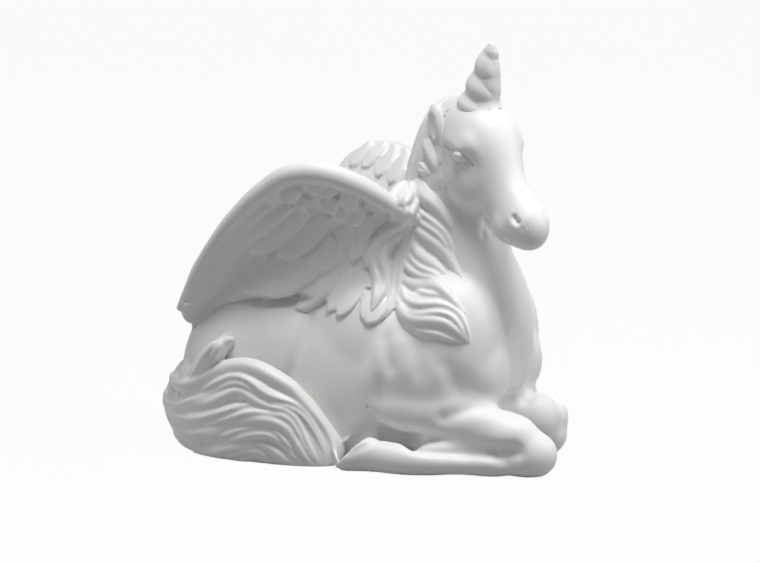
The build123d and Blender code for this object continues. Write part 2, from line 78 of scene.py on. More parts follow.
# The head's own frame, as the solids have it: middle, turn and drop
HEAD_MIDDLE = Vector((31.25, -0.6, 101.0)) * MM
HEAD_TURN = radians(28)
HEAD_DROP = radians(45)
HEAD_AHEAD = Vector((cos(HEAD_TURN), -sin(HEAD_TURN), 0))
HEAD_LEFT = Vector((sin(HEAD_TURN), cos(HEAD_TURN), 0))
HEAD_NOSE = HEAD_AHEAD * cos(HEAD_DROP) - Vector((0, 0, sin(HEAD_DROP)))
HEAD_CROWN = HEAD_NOSE.cross(HEAD_LEFT)
HORN_AXIS = (HEAD_AHEAD * sin(radians(14)) + Vector((0, 0, cos(radians(14))))).normalized()

# The oval that the tail follows round the haunch, and the neck's own line
TAIL_MIDDLE = Vector((-22.0, 0.0, 0.0)) * MM
TAIL_HALF_REACH = 44.0 * MM
TAIL_HALF_WIDTH = 34.0 * MM
TAIL_HEIGHT = 29.0 * MM
TAIL_LEAN = 0.17
NECK_LINE = Vector((27.0, 0.0, 0.0)) * MM

# The photograph's camera: the middle of its frame, the size of a pixel at the figure, and how far
# round, above and away it stands
FRAME_MIDDLE = (380.0, 281.5)
FRAME_WIDTH = 760
PIXEL = 0.30 * MM
CAMERA_ROUND = radians(27)
CAMERA_PITCH = radians(9)
CAMERA_DISTANCE = 0.8
ACROSS = Vector((cos(CAMERA_ROUND), sin(CAMERA_ROUND), 0))
LEVEL = Vector((sin(CAMERA_ROUND), -cos(CAMERA_ROUND), 0))
TOWARDS = LEVEL * cos(CAMERA_PITCH) + Vector((0, 0, sin(CAMERA_PITCH)))
UPWARDS = TOWARDS.cross(ACROSS)
LOOK_AT = Vector((-2.1, 0.1, 62)) * MM + ACROSS * 4.2 * MM - UPWARDS * 11.85 * MM
CAMERA_PLACE = LOOK_AT + TOWARDS * CAMERA_DISTANCE

# A lock of hair from root to tip: its breadth, its height, the depth of its grooves and how deep
# it is set into what carries it
LOCK_BREADTH = ([0.0, 0.12, 0.40, 0.75, 0.92, 1.0], [0.45, 0.85, 1.0, 0.72, 0.38, 0.08])
LOCK_HEIGHT = ([0.0, 0.15, 0.50, 0.85, 1.0], [0.35, 0.85, 1.0, 0.75, 0.20])
LOCK_GROOVE = 0.34
LOCK_ROOT = 1.4 * MM
LOCK_EDGE_SINK = 0.35 * MM

BODY_NODES = (
    "torso",
    "neck",
    "head",
    "right_foreleg",
    "left_foreleg",
    "right_hind_leg",
    "left_hind_leg",
)


class FigurineSizes(bpy.types.PropertyGroup):
    """Sizes and colours of the figurine that a user would change."""

    body_grain: FloatProperty(
        name="Body Grain",
        description="Edge of one face of the carved body",
        default=0.55 * MM,
        min=0.2 * MM,
        unit="LENGTH",
    )
    hair_grain: FloatProperty(
        name="Hair Grain",
        description="Edge of one face of the mane and tail",
        default=0.42 * MM,
        min=0.2 * MM,
        unit="LENGTH",
    )
    wing_grain: FloatProperty(
        name="Wing Grain",
        description="Edge of one face of the wings",
        default=0.42 * MM,
        min=0.2 * MM,
        unit="LENGTH",
    )
    bisque: FloatVectorProperty(
        name="Bisque",
        description="Colour of the fired clay",
        default=(0.80, 0.80, 0.795),
        min=0.0,
        max=1.0,
        subtype="COLOR",
    )
    sky: FloatProperty(
        name="Sky",
        description="Strength of the light from all round",
        default=0.06,
        min=0.0,
    )
    floor: FloatVectorProperty(
        name="Floor",
        description="Colour of the floor under the figurine",
        default=(0.30, 0.30, 0.30),
        min=0.0,
        max=1.0,
        subtype="COLOR",
    )


def sizes():
    """The settings in the scene."""
    return bpy.context.scene.figurine


def activate(obj):
    """Selects one object alone and makes it the active one."""
    bpy.ops.object.select_all(action="DESELECT")
    obj.select_set(True)
    bpy.context.view_layer.objects.active = obj


def edit(obj):
    """Opens one object in edit mode with all of it selected."""
    activate(obj)
    bpy.ops.object.mode_set(mode="EDIT")
    bpy.ops.mesh.select_all(action="SELECT")


def close_edit():
    """Goes back to object mode."""
    bpy.ops.object.mode_set(mode="OBJECT")


def copy_of(node, name):
    """A copy of a casting's mesh, with its loose triangles merged."""
    obj = bpy.data.objects.new(name, frame["nodes"][node].data.copy())
    bpy.context.scene.collection.objects.link(obj)
    edit(obj)
    bpy.ops.mesh.remove_doubles(threshold=0.001 * MM)
    close_edit()
    return obj


def copied(name):
    """A copy of one of the scene's own objects."""
    obj = bpy.data.objects.new(f"{name}_copy", bpy.data.objects[name].data.copy())
    bpy.context.scene.collection.objects.link(obj)
    return obj


def egg(name, centre, half_sizes, turn=None):
    """A closed egg of the given half sizes, turned by a rotation matrix."""
    bpy.ops.object.select_all(action="DESELECT")
    bpy.ops.mesh.primitive_uv_sphere_add(segments=40, ring_count=20, radius=1)
    obj = bpy.context.object
    obj.name = name
    turned = turn.to_4x4() if turn else Matrix.Identity(4)
    place = Matrix.Translation(centre) @ turned @ Matrix.Diagonal((*half_sizes, 1))
    obj.data.transform(place)
    return obj


def joined(objects, name):
    """Several meshes as one object."""
    bpy.ops.object.select_all(action="DESELECT")
    for obj in objects:
        obj.select_set(True)
    bpy.context.view_layer.objects.active = objects[0]
    bpy.ops.object.join()
    objects[0].name = name
    objects[0].data.name = name
    return objects[0]


def run_together(obj, grain, passes):
    """Melts overlapping forms into one skin and smooths it as a wet sponge would."""
    activate(obj)
    obj.data.remesh_voxel_size = grain
    obj.data.use_remesh_preserve_volume = True
    bpy.ops.object.voxel_remesh()
    if passes:
        edit(obj)
        bpy.ops.mesh.vertices_smooth(factor=0.5, repeat=passes)
        close_edit()
    return obj


def outer_skin(obj):
    """Drops the small shells that remeshing leaves inside a piece, and keeps its outer skin."""
    highest = points_of(obj)[:, 2].argmax()
    edit(obj)
    bpy.ops.mesh.select_mode(type="VERT")
    bpy.ops.mesh.select_all(action="DESELECT")
    close_edit()
    obj.data.vertices[highest].select = True
    bpy.ops.object.mode_set(mode="EDIT")
    bpy.ops.mesh.select_linked()
    bpy.ops.mesh.select_all(action="INVERT")
    bpy.ops.mesh.delete(type="VERT")
    close_edit()
    return obj


def sponge_pits(obj):
    """Smooths the pits that remeshing leaves where forms cross."""
    mesh = obj.data
    points = points_of(obj)
    ends = np.empty(len(mesh.edges) * 2, int)
    mesh.edges.foreach_get("vertices", ends)
    pairs = ends.reshape(-1, 2)
    first, second = np.concatenate([pairs, pairs[:, ::-1]]).T
    links = np.bincount(first, minlength=len(points))
    middle = [np.bincount(first, points[second, axis], len(points)) / links for axis in range(3)]
    pits = np.linalg.norm(np.transpose(middle) - points, axis=1) > PIT_DEPTH
    edit(obj)
    bpy.ops.mesh.select_mode(type="VERT")
    bpy.ops.mesh.select_all(action="DESELECT")
    close_edit()
    mesh.vertices.foreach_set("select", pits)
    bpy.ops.object.mode_set(mode="EDIT")
    bpy.ops.mesh.select_more()
    bpy.ops.mesh.select_more()
    bpy.ops.mesh.vertices_smooth(factor=0.5, repeat=PIT_PASSES)
    close_edit()


def tree_of(obj):
    """A search tree of one mesh."""
    depsgraph = bpy.context.evaluated_depsgraph_get()
    return BVHTree.FromObject(obj, depsgraph)


def points_of(obj):
    """All vertices of a mesh as an array."""
    points = np.empty(len(obj.data.vertices) * 3)
    obj.data.vertices.foreach_get("co", points)
    return points.reshape(-1, 3)


def normals_of(obj):
    """All vertex normals of a mesh as an array."""
    normals = np.empty(len(obj.data.vertices) * 3)
    obj.data.vertex_normals.foreach_get("vector", normals)
    return normals.reshape(-1, 3)


def put_points(obj, points):
    """Writes an array of vertices back to a mesh."""
    obj.data.vertices.foreach_set("co", points.ravel())
    obj.data.update()


def distance_to_line(points, line):
    """Distance of every point to a polyline."""
    nearest = np.full(len(points), np.inf)
    for start, end in zip(line, line[1:]):
        run = end - start
        share = np.clip((points - start) @ run / (run @ run + 1e-18), 0, 1)
        gap = np.linalg.norm(points - start - share[:, None] * run, axis=1)
        nearest = np.minimum(nearest, gap)
    return nearest


def smooth_line(corners, steps=6):
    """A Catmull-Rom line through a few corners."""
    corners = [np.array(corner, float) for corner in corners]
    ends = [2 * corners[0] - corners[1], *corners, 2 * corners[-1] - corners[-2]]
    line = []
    for before, here, there, after in zip(ends, ends[1:], ends[2:], ends[3:]):
        for step in range(steps):
            t = step / steps
            line.append(
                0.5
                * (
                    2 * here
                    + (there - before) * t
                    + (2 * before - 5 * here + 4 * there - after) * t**2
                    + (3 * here - before - 3 * there + after) * t**3
                )
            )
    return np.array([*line, corners[-1]])


def carve(obj, strokes):
    """Presses grooves (depth below zero) and ridges into a mesh along lines on its skin."""
    points = points_of(obj)
    normals = normals_of(obj)
    moves = np.zeros_like(points)
    for line, radius, depth in strokes:
        low, high = line.min(axis=0) - 3 * radius * MM, line.max(axis=0) + 3 * radius * MM
        near = np.all((points > low) & (points < high), axis=1).nonzero()[0]
        gap = distance_to_line(points[near], line)
        push = depth * MM * np.exp(-((gap / (radius * MM)) ** 2))
        moves[near] += normals[near] * push[:, None]
    put_points(obj, points + moves)


def seen(tree, pixels, beyond=False):
    """Where lines of sight through pixels meet a mesh, or pass beyond its edge, and its normals."""
    points, normals = [], []
    reach = CAMERA_DISTANCE
    for column, row in pixels:
        aside = ACROSS * (column - FRAME_MIDDLE[0]) - UPWARDS * (row - FRAME_MIDDLE[1])
        sight = (aside * PIXEL / CAMERA_DISTANCE - TOWARDS).normalized()
        point, normal, _, distance = tree.ray_cast(CAMERA_PLACE, sight)
        if point is None:
            point, normal, _, _ = tree.find_nearest(CAMERA_PLACE + sight * reach)
            point = CAMERA_PLACE + sight * reach if beyond else point
        else:
            reach = distance
        points.append(np.array(point))
        normals.append(np.array(normal))
    return np.array(points), np.array(normals)


def evened(values, passes=2):
    """A line of values with its jumps taken out, and its ends kept."""
    values = np.array(values)
    for _ in range(passes):
        values[1:-1] = (values[:-2] + 2 * values[1:-1] + values[2:]) / 4
    return values


def seen_line(tree, pixels, steps=5, passes=3, beyond=False):
    """A smooth line on a mesh along a path of pixels, with the way out of the mesh."""
    points, normals = seen(tree, smooth_line(pixels, steps), beyond)
    normals = evened(normals, 6)
    return evened(points, passes), normals / np.linalg.norm(normals, axis=1)[:, None]


def other_side(tree, points):
    """The mirror image of a line, laid on the other side of the body."""
    hits = [tree.find_nearest(Vector((x, -y, z))) for x, y, z in points]
    normals = evened([hit[1] for hit in hits], 6)
    return evened([hit[0] for hit in hits], 4), normals / np.linalg.norm(normals, axis=1)[:, None]


def lock_mesh(points, normals, width, height, seed, strands=2):
    """One lock of hair on a surface: a tapering ridge with grooves that wander along it."""
    rows, columns = len(points), 25
    t = np.linspace(0, 1, rows)
    across = np.cross(np.gradient(points, axis=0), normals)
    across /= np.linalg.norm(across, axis=1)[:, None]
    half = width / 2 * MM * np.interp(t, *LOCK_BREADTH)
    tall = height * MM * np.interp(t, *LOCK_HEIGHT)
    side = np.linspace(-1, 1, columns)
    wander = side[None, :] + 0.22 * np.sin(2.2 * pi * t + seed)[:, None]
    groove = 0.5 - 0.5 * np.cos(pi * strands * (wander + 1))
    ridge = tall[:, None] * np.sqrt(1 - side**2)[None, :] * (1 - LOCK_GROOVE * (1 - groove**0.7))
    spread = (half[:, None] * side)[:, :, None] * across[:, None, :]
    upper = points[:, None, :] + spread + (ridge - LOCK_EDGE_SINK)[:, :, None] * normals[:, None, :]
    lower = points[:, None, :] + spread - LOCK_ROOT * normals[:, None, :]
    return shell_mesh("lock", upper, lower)


def strands_mesh(name, strands, sides=2):
    """Round tapering strands, each a line of points with a thickness at each, as one mesh."""
    curve = bpy.data.curves.new(name, "CURVE")
    curve.dimensions = "3D"
    curve.bevel_depth = 1.0
    curve.bevel_resolution = sides
    curve.use_fill_caps = True
    curve.resolution_u = 5
    for points, radii in strands:
        spline = curve.splines.new("NURBS")
        spline.points.add(len(points) - 1)
        for knot, point, radius in zip(spline.points, points, radii):
            knot.co = (*point, 1)
            knot.radius = radius
        spline.order_u = 4
        spline.use_endpoint_u = True
    obj = bpy.data.objects.new(name, curve)
    bpy.context.scene.collection.objects.link(obj)
    activate(obj)
    bpy.ops.object.convert(target="MESH")
    return bpy.context.object


def head_at(left, crown, along):
    """A point in the head's own frame, in millimetres out to its left, up to its crown and along."""
    place = HEAD_MIDDLE / MM + HEAD_LEFT * left + HEAD_CROWN * crown + HEAD_NOSE * along
    return place


def finish_piece(obj, *nodes):
    """Shades a piece smoothly and puts it in the place of its castings."""
    obj.data.materials.clear()
    obj.data.materials.append(bisque_material())
    activate(obj)
    bpy.ops.object.shade_smooth()
    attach(obj, ROOT)
    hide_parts(*nodes)
    return obj


class Shade:
    """A socket that reads as a number in Python expressions."""

    def __init__(self, tree, socket):
        self.tree = tree
        self.socket = socket

    def node(self, kind, settings=None, **inputs):
        """A node of a kind, with its settings and the values or links of its sockets."""
        node = self.tree.nodes.new(kind)
        for name, value in (settings or {}).items():
            setattr(node, name, value)
        for name, value in inputs.items():
            socket = node.inputs[int(name[1:])] if name[1:].isdigit() else node.inputs[name.replace("_", " ")]
            if isinstance(value, Shade):
                self.tree.links.new(value.socket, socket)
            else:
                socket.default_value = value
        return node

    def math(self, operation, other, swap=False):
        """A Math node on this value and another."""
        first, second = (other, self) if swap else (self, other)
        node = self.node("ShaderNodeMath", {"operation": operation}, _0=first, _1=second)
        return Shade(self.tree, node.outputs[0])

    def __add__(self, other):
        return self.math("ADD", other)

    __radd__ = __add__

    def __sub__(self, other):
        return self.math("SUBTRACT", other)

    def __rsub__(self, other):
        return self.math("SUBTRACT", other, swap=True)

    def __mul__(self, other):
        return self.math("MULTIPLY", other)

    __rmul__ = __mul__


def bisque_material():
    """Fired white clay: matte, faintly mottled, with pinholes, sponge lines and a fine grain."""
    material = bpy.data.materials.get("bisque")
    if material:
        return material
    material = bpy.data.materials.new("bisque")
    material.use_nodes = True
    tree = material.node_tree
    shader = tree.nodes["Principled BSDF"]
    coordinates = tree.nodes.new("ShaderNodeTexCoord")
    place = Shade(tree, coordinates.outputs["Object"])

    def noise(scale, detail, roughness=0.5):
        node = place.node(
            "ShaderNodeTexNoise", None, Vector=place, Scale=scale, Detail=detail, Roughness=roughness
        )
        return Shade(tree, node.outputs["Fac"])

    mottle = noise(55.0, 3.0)
    grain = noise(2600.0, 2.0, 0.6)
    clay = tuple(sizes().bisque)
    pale = (*clay, 1)
    grey = (*[channel * 0.90 for channel in clay], 1)
    colour = place.node("ShaderNodeMix", {"data_type": "RGBA"}, _0=mottle, _6=grey, _7=pale)
    tree.links.new(colour.outputs[2], shader.inputs["Base Color"])
    cells = place.node("ShaderNodeTexVoronoi", None, Vector=place, Scale=420.0)
    pits = place.node("ShaderNodeMapRange", None, Value=Shade(tree, cells.outputs["Distance"]), _1=0.03, _2=0.09)
    pit = Shade(tree, pits.outputs[0])
    combed = place.node("ShaderNodeMapping", None, Vector=place, Scale=(0.16, 0.16, 1.0))
    drawn = place.node(
        "ShaderNodeTexNoise", None, Vector=Shade(tree, combed.outputs[0]), Scale=1500.0, Detail=1.0
    )
    lines = Shade(tree, drawn.outputs["Fac"])
    wear = grain * 0.3 + pit * 0.8 + mottle * 0.4 + lines * 0.6
    bump = place.node("ShaderNodeBump", None, Height=wear, Strength=0.25, Distance=0.12 * MM)
    tree.links.new(bump.outputs["Normal"], shader.inputs["Normal"])
    shader.inputs["Roughness"].default_value = 0.95
    shader.inputs["Specular IOR Level"].default_value = 0.12
    return material


LABEL_PASSES = 45
SMALLEST_CASTING = 900
JOINT_LIP = 1.0 * MM
JOINT_DEPTH = 12.0 * MM

# Forms that round out the castings: centre and half sizes, mirrored to the other side
MUSCLES = [
    ((24.0, 14.0, 27.0), (20.0, 15.5, 21.0)),
    ((36.0, 12.0, 28.0), (14.0, 10.5, 16.0)),
    ((4.0, 13.0, 30.0), (22.0, 13.5, 24.0)),
    ((13.0, 14.5, 24.0), (14.0, 13.0, 17.0)),
    ((-20.0, 16.0, 28.0), (24.0, 14.5, 19.0)),
    ((-36.0, 12.0, 30.0), (16.0, 14.0, 16.0)),
    ((46.0, 15.0, 11.0), (12.0, 7.5, 8.0)),
]
# Forms without a mirror image: the breast, the near knee, the far leg where it leaves the breast,
# the web between the near forearm and cannon, and the slip that joins the hoof to the tail
BREAST_FORMS = [
    ((36.0, 2.5, 37.0), (15.2, 12.0, 29.0)),
    ((53.0, -16.5, 11.0), (9.0, 7.5, 7.0)),
    ((50.0, 7.0, 12.0), (8.0, 7.5, 8.5)),
    ((30.0, -19.5, 9.0), (15.0, 4.5, 6.0)),
    ((8.4, -33.5, 1.8), (2.6, 2.2, 2.6)),
]
BODY_PASSES = 30
PIT_DEPTH = 0.018 * MM
PIT_PASSES = 24
# The near hoof: where its tip lies, where the cut of its top starts and ends across, and its slope
HOOF_TIP_X = 4.7 * MM
HOOF_HEEL_X = 19.0 * MM
HOOF_TOP = 13.5 * MM
HOOF_INSIDE_Y = -26.0 * MM
HOOF_FADE = 2.0 * MM
HOOF_SLOPE = 1.05
# How far the rounded lower edge is pressed flat, and up to what height
BASE_SINK = 0.6 * MM
BASE_REACH = 3.0 * MM
POUR_HOLE = Vector((-2.1, 0.1, 3.0)) * MM
POUR_HOLE_RADIUS = 7.0 * MM
POUR_HOLE_DEPTH = 18.0 * MM
# Joints that are sponged smooth, by their pixels
SPONGED_PIXELS = [(502, 335), (464, 446), (482, 450)]
SPONGED_REACH = 4.0 * MM
SPONGED_PASSES = 30
FINE_CORE_SHARE = 0.75
# Head forms in its own frame: left, crown, along, then half sizes the same way
HEAD_FORMS = [
    ((7.6, 4.8, 12.5), (3.4, 2.8, 5.2)),
    ((6.2, -6.4, 16.0), (3.6, 7.4, 8.6)),
    ((3.4, -3.4, 38.0), (4.2, 4.6, 6.6)),
    ((4.2, 2.8, 41.0), (2.4, 2.6, 3.4)),
]


def head_turn():
    """The head's frame as a rotation: left, crown, nose."""
    return Matrix((HEAD_LEFT, HEAD_CROWN, HEAD_NOSE)).transposed()


# Carving of the face and of the body by the pixels that each stroke runs through: radius and
# depth in millimetres, below zero for a groove
FACE_STROKES = [
    (3.6, -0.9, [(464, 156), (470, 163)]),
    (2.6, 0.5, [(446, 141), (456, 145), (466, 151), (474, 159)]),
    (1.5, 0.8, [(456, 155), (458, 156)]),
    (0.6, -0.8, [(445, 145), (452, 149.5), (459, 152), (465, 157.5), (472, 165)]),
    (0.55, -0.4, [(450, 152), (452, 158), (457, 161.5), (463, 163), (468, 166)]),
    (0.9, 0.3, [(449, 155), (452, 161.5), (458, 165), (465, 167)]),
    (0.8, -1.4, [(513.5, 217), (514.5, 220), (517, 222)]),
    (1.5, 0.2, [(510, 219), (512, 225), (517, 226)]),
    (0.8, -0.2, [(517, 223), (521, 229)]),
    (0.8, -0.6, [(477, 208), (480, 210.5)]),
    (1.3, -0.7, [(481, 211), (488, 222), (493, 233)]),
    (1.0, -0.6, [(496, 233), (508, 244), (521, 249)]),
    (2.2, -0.7, [(437, 192), (442, 203), (449, 210)]),
    (5.0, 0.7, [(452, 180), (460, 192)]),
]
BODY_STROKES = [
    (1.8, -1.4, [(309, 314), (305, 328), (299, 346), (294, 362), (287, 379)]),
    (2.4, -0.6, [(384, 338), (386, 352), (390, 367)]),
    (3.0, 0.4, [(400, 345), (404, 370)]),
    (2.4, -0.4, [(417, 350), (420, 373)]),
    (3.5, 0.4, [(434, 345), (438, 372)]),
    (2.4, -0.4, [(447, 368), (453, 386)]),
    (4.0, 0.4, [(468, 366), (484, 378)]),
    (2.2, -1.0, [(379, 386), (377, 404), (373, 425), (356, 437), (346, 444)]),
    (0.8, -0.5, [(347, 454), (363, 447), (384, 439)]),
    (2.4, -2.4, [(384, 432), (400, 438), (420, 446), (447, 450), (478, 452), (514, 453)]),
    (2.4, -1.4, [(444, 419), (457, 413), (475, 407), (500, 405), (513, 402)]),
    (1.4, -0.5, [(498, 457), (513, 466)]),
    (1.4, 0.5, [(476, 458), (490, 462)]),
]
# Middle of the finely divided part of the face on each side, and its reach, in the head's frame
FINE_PLACES = [((8.5, 3.0, 12.0), 9.0), ((4.5, 2.0, 43.0), 9.0), ((5.0, -6.0, 32.0), 8.0)]


def mirrored_head(points):
    """Points mirrored across the head's own middle plane."""
    middle, left = np.array(HEAD_MIDDLE), np.array(HEAD_LEFT)
    return points - 2 * ((points - middle) @ left)[:, None] * left


def strokes_of(tree, strokes, mirror):
    """Strokes laid on the body along their pixels, with their mirror images."""
    lines = []
    for radius, depth, pixels in strokes:
        points, _ = seen(tree, smooth_line(pixels, 4))
        twin = [np.array(tree.find_nearest(Vector(point))[0]) for point in mirror(points)]
        lines.append((points, radius, depth))
        lines.append((np.array(twin), radius, depth))
    return lines


def mirrored_body(points):
    """Points mirrored across the middle of the body."""
    return points * (1, -1, 1)


def divide_near(obj, places):
    """Divides the faces near a few places once more."""
    edit(obj)
    bpy.ops.mesh.select_mode(type="FACE")
    bpy.ops.mesh.select_all(action="DESELECT")
    close_edit()
    centres = np.empty(len(obj.data.polygons) * 3)
    obj.data.polygons.foreach_get("center", centres)
    centres = centres.reshape(-1, 3)
    chosen = np.zeros(len(centres), bool)
    for place, reach in places:
        chosen |= np.linalg.norm(centres - np.array(place), axis=1) < reach
    obj.data.polygons.foreach_set("select", chosen)
    bpy.ops.object.mode_set(mode="EDIT")
    bpy.ops.mesh.subdivide(number_cuts=1)
    close_edit()


def soften(obj, place, reach, passes):
    """Smooths the part of a mesh round one place."""
    points = points_of(obj)
    chosen = np.linalg.norm(points - np.array(place), axis=1) < reach
    edit(obj)
    bpy.ops.mesh.select_mode(type="VERT")
    bpy.ops.mesh.select_all(action="DESELECT")
    close_edit()
    obj.data.vertices.foreach_set("select", chosen)
    bpy.ops.object.mode_set(mode="EDIT")
    bpy.ops.mesh.vertices_smooth(factor=0.5, repeat=passes)
    close_edit()


def slope_hoof(obj):
    """Slopes the top of the near fore hoof down to its tip."""
    points = points_of(obj)
    x, y, z = points.T.copy()
    share = np.clip((HOOF_INSIDE_Y - y) / HOOF_FADE, 0, 1) * (x < HOOF_HEEL_X) * (z < HOOF_TOP)
    limit = np.maximum((x - HOOF_TIP_X) * HOOF_SLOPE, 0.8 * MM)
    points[:, 2] -= share * np.maximum(z - limit, 0)
    points[:, 0] += share * np.maximum(HOOF_TIP_X - x, 0) * 0.8
    put_points(obj, points)
    soften(obj, Vector((12, -30, 5)) * MM, 13 * MM, 6)


def press_pour_hole(obj):
    """Presses the round drain of the casting into the base."""
    points = points_of(obj)
    away = points[:, :2] - np.array(POUR_HOLE)[:2]
    reach = np.linalg.norm(away, axis=1)
    under = points[:, 2] < 0.3 * MM
    rim = under & (abs(reach - POUR_HOLE_RADIUS) < 0.4 * MM)
    points[rim, :2] += away[rim] * (POUR_HOLE_RADIUS / reach[rim] - 1)[:, None]
    points[under & ~rim & (reach < POUR_HOLE_RADIUS), 2] += POUR_HOLE_DEPTH
    put_points(obj, points)


class FIGURINE_OT_body(bpy.types.Operator):
    """Run the body, neck, head and legs together and carve their folds"""

    bl_idname = "figurine.body"
    bl_label = "Body"

    def execute(self, context):
        forms = [copy_of(node, f"{node}_form") for node in BODY_NODES]
        forms.append(egg("belly", Vector((-6, 0, 22)) * MM, Vector((46, 24, 30)) * MM))
        for centre, half in BREAST_FORMS:
            forms.append(egg("breast", Vector(centre) * MM, Vector(half) * MM))
        for (x, y, z), half in MUSCLES:
            for side in (RIGHT, LEFT):
                forms.append(egg("muscle", Vector((x, side * y, z)) * MM, Vector(half) * MM))
        for (left, crown, along), half in HEAD_FORMS:
            for side in (RIGHT, LEFT):
                centre = head_at(side * left, crown, along) * MM
                forms.append(egg("brow", centre, Vector(half) * MM, head_turn()))
        forms.append(copy_of("horn", "horn_root"))
        bpy.ops.object.select_all(action="DESELECT")
        bpy.ops.mesh.primitive_cylinder_add(radius=POUR_HOLE_RADIUS + MM, depth=6 * MM, location=POUR_HOLE)
        bpy.ops.object.transform_apply()
        forms.append(context.object)
        body = joined(forms, "body")
        outer_skin(run_together(body, sizes().body_grain, 0))
        edit(body)
        bpy.ops.mesh.vertices_smooth(factor=0.5, repeat=BODY_PASSES)
        close_edit()
        sponge_pits(body)
        slope_hoof(body)
        soften(body, head_at(0, 0, 45) * MM, 9 * MM, 24)
        tree = tree_of(body)
        for pixel in SPONGED_PIXELS:
            soften(body, Vector(seen(tree, [pixel])[0][0]), SPONGED_REACH, SPONGED_PASSES)
        tree = tree_of(body)
        carve(body, strokes_of(tree, BODY_STROKES, mirrored_body))
        outer_skin(run_together(body, sizes().body_grain, 4))
        points = points_of(body)
        points[:, 2] = np.maximum(points[:, 2] - BASE_SINK * np.exp(-points[:, 2] / BASE_REACH), 0)
        put_points(body, points)
        fine = [
            (head_at(side * left, crown, along) * MM, reach * MM)
            for (left, crown, along), reach in FINE_PLACES
            for side in (RIGHT, LEFT)
        ]
        divide_near(body, fine)
        tree = tree_of(body)
        carve(body, strokes_of(tree, FACE_STROKES, mirrored_head))
        for place, reach in fine:
            soften(body, place, reach * FINE_CORE_SHARE, 2)
        press_pour_hole(body)
        return {"FINISHED"}


def casting_labels(body, nodes):
    """Which casting each face of the body lies nearest to, with ragged edges taken off."""
    mesh = body.data
    count = len(mesh.polygons)
    centres = np.empty(count * 3)
    mesh.polygons.foreach_get("center", centres)
    centres = centres.reshape(-1, 3)
    gaps = np.full((len(nodes), count), np.inf)
    for row, node in enumerate(nodes):
        form = copy_of(node, "form")
        tree = tree_of(form)
        low, high = points_of(form).min(axis=0) - 6 * MM, points_of(form).max(axis=0) + 6 * MM
        for face in np.all((centres > low) & (centres < high), axis=1).nonzero()[0]:
            gaps[row, face] = tree.find_nearest(Vector(centres[face]))[3]
        bpy.data.objects.remove(form)
    labels = gaps.argmin(axis=0)
    corners = np.empty(len(mesh.loops), int)
    mesh.loops.foreach_get("edge_index", corners)
    totals = np.empty(count, int)
    mesh.polygons.foreach_get("loop_total", totals)
    faces = np.repeat(np.arange(count), totals)
    order = np.argsort(corners, kind="stable")
    edges, faces = corners[order], faces[order]
    same = (edges[:-1] == edges[1:]).nonzero()[0]
    first, second = faces[same], faces[same + 1]
    shares = np.eye(len(nodes))[labels]
    ends, starts = np.concatenate([first, second]), np.concatenate([second, first])
    links = 1 + np.bincount(ends, minlength=count)
    for _ in range(LABEL_PASSES):
        for row in range(len(nodes)):
            gained = np.bincount(ends, weights=shares[starts, row], minlength=count)
            shares[:, row] = (shares[:, row] + gained) / links
    labels = shares.argmax(axis=1)
    return without_islands(labels, first, second)


def without_islands(labels, first, second):
    """The same labels with every patch too small for a casting given to the one round it."""
    while True:
        patch = np.arange(len(labels))
        same = labels[first] == labels[second]
        a, b = first[same], second[same]
        while True:
            least = np.minimum(patch[a], patch[b])
            before = patch.copy()
            np.minimum.at(patch, a, least)
            np.minimum.at(patch, b, least)
            patch = patch[patch]
            if (patch == before).all():
                break
        sizes_of = np.bincount(patch, minlength=len(labels))[patch]
        edge = (~same & (sizes_of[first] != sizes_of[second])).nonzero()[0]
        small = np.minimum(sizes_of[first[edge]], sizes_of[second[edge]]) < SMALLEST_CASTING
        if not small.any():
            return labels
        for pair in edge[small]:
            f, g = first[pair], second[pair]
            less, more = (f, g) if sizes_of[f] < sizes_of[g] else (g, f)
            labels[patch == patch[less]] = labels[more]
            break


def close_joints(part, skin):
    """Closes the open edges of a casting: a lip turned inwards, then a fan to a point inside."""
    layer = part.verts.layers.int["source"]
    rim = [edge for edge in part.edges if edge.is_boundary]
    group = {}
    for edge in rim:
        a, b = (group.setdefault(vert, {vert}) for vert in edge.verts)
        if a is not b:
            a |= b
            for vert in b:
                group[vert] = a
    inner, apex = {}, {}
    for vert in group:
        inner[vert] = part.verts.new(vert.co - Vector(skin[vert[layer]]) * JOINT_LIP)
    for ring in {id(ring): ring for ring in group.values()}.values():
        middle = sum((vert.co for vert in ring), Vector()) / len(ring)
        outward = sum((Vector(skin[vert[layer]]) for vert in ring), Vector()) / len(ring)
        apex[id(ring)] = part.verts.new(middle - outward * JOINT_DEPTH)
    for edge in rim:
        loop = edge.link_loops[0]
        a, b = loop.vert, loop.link_loop_next.vert
        part.faces.new((b, a, inner[a], inner[b]))
        part.faces.new((inner[b], inner[a], apex[id(group[a])]))


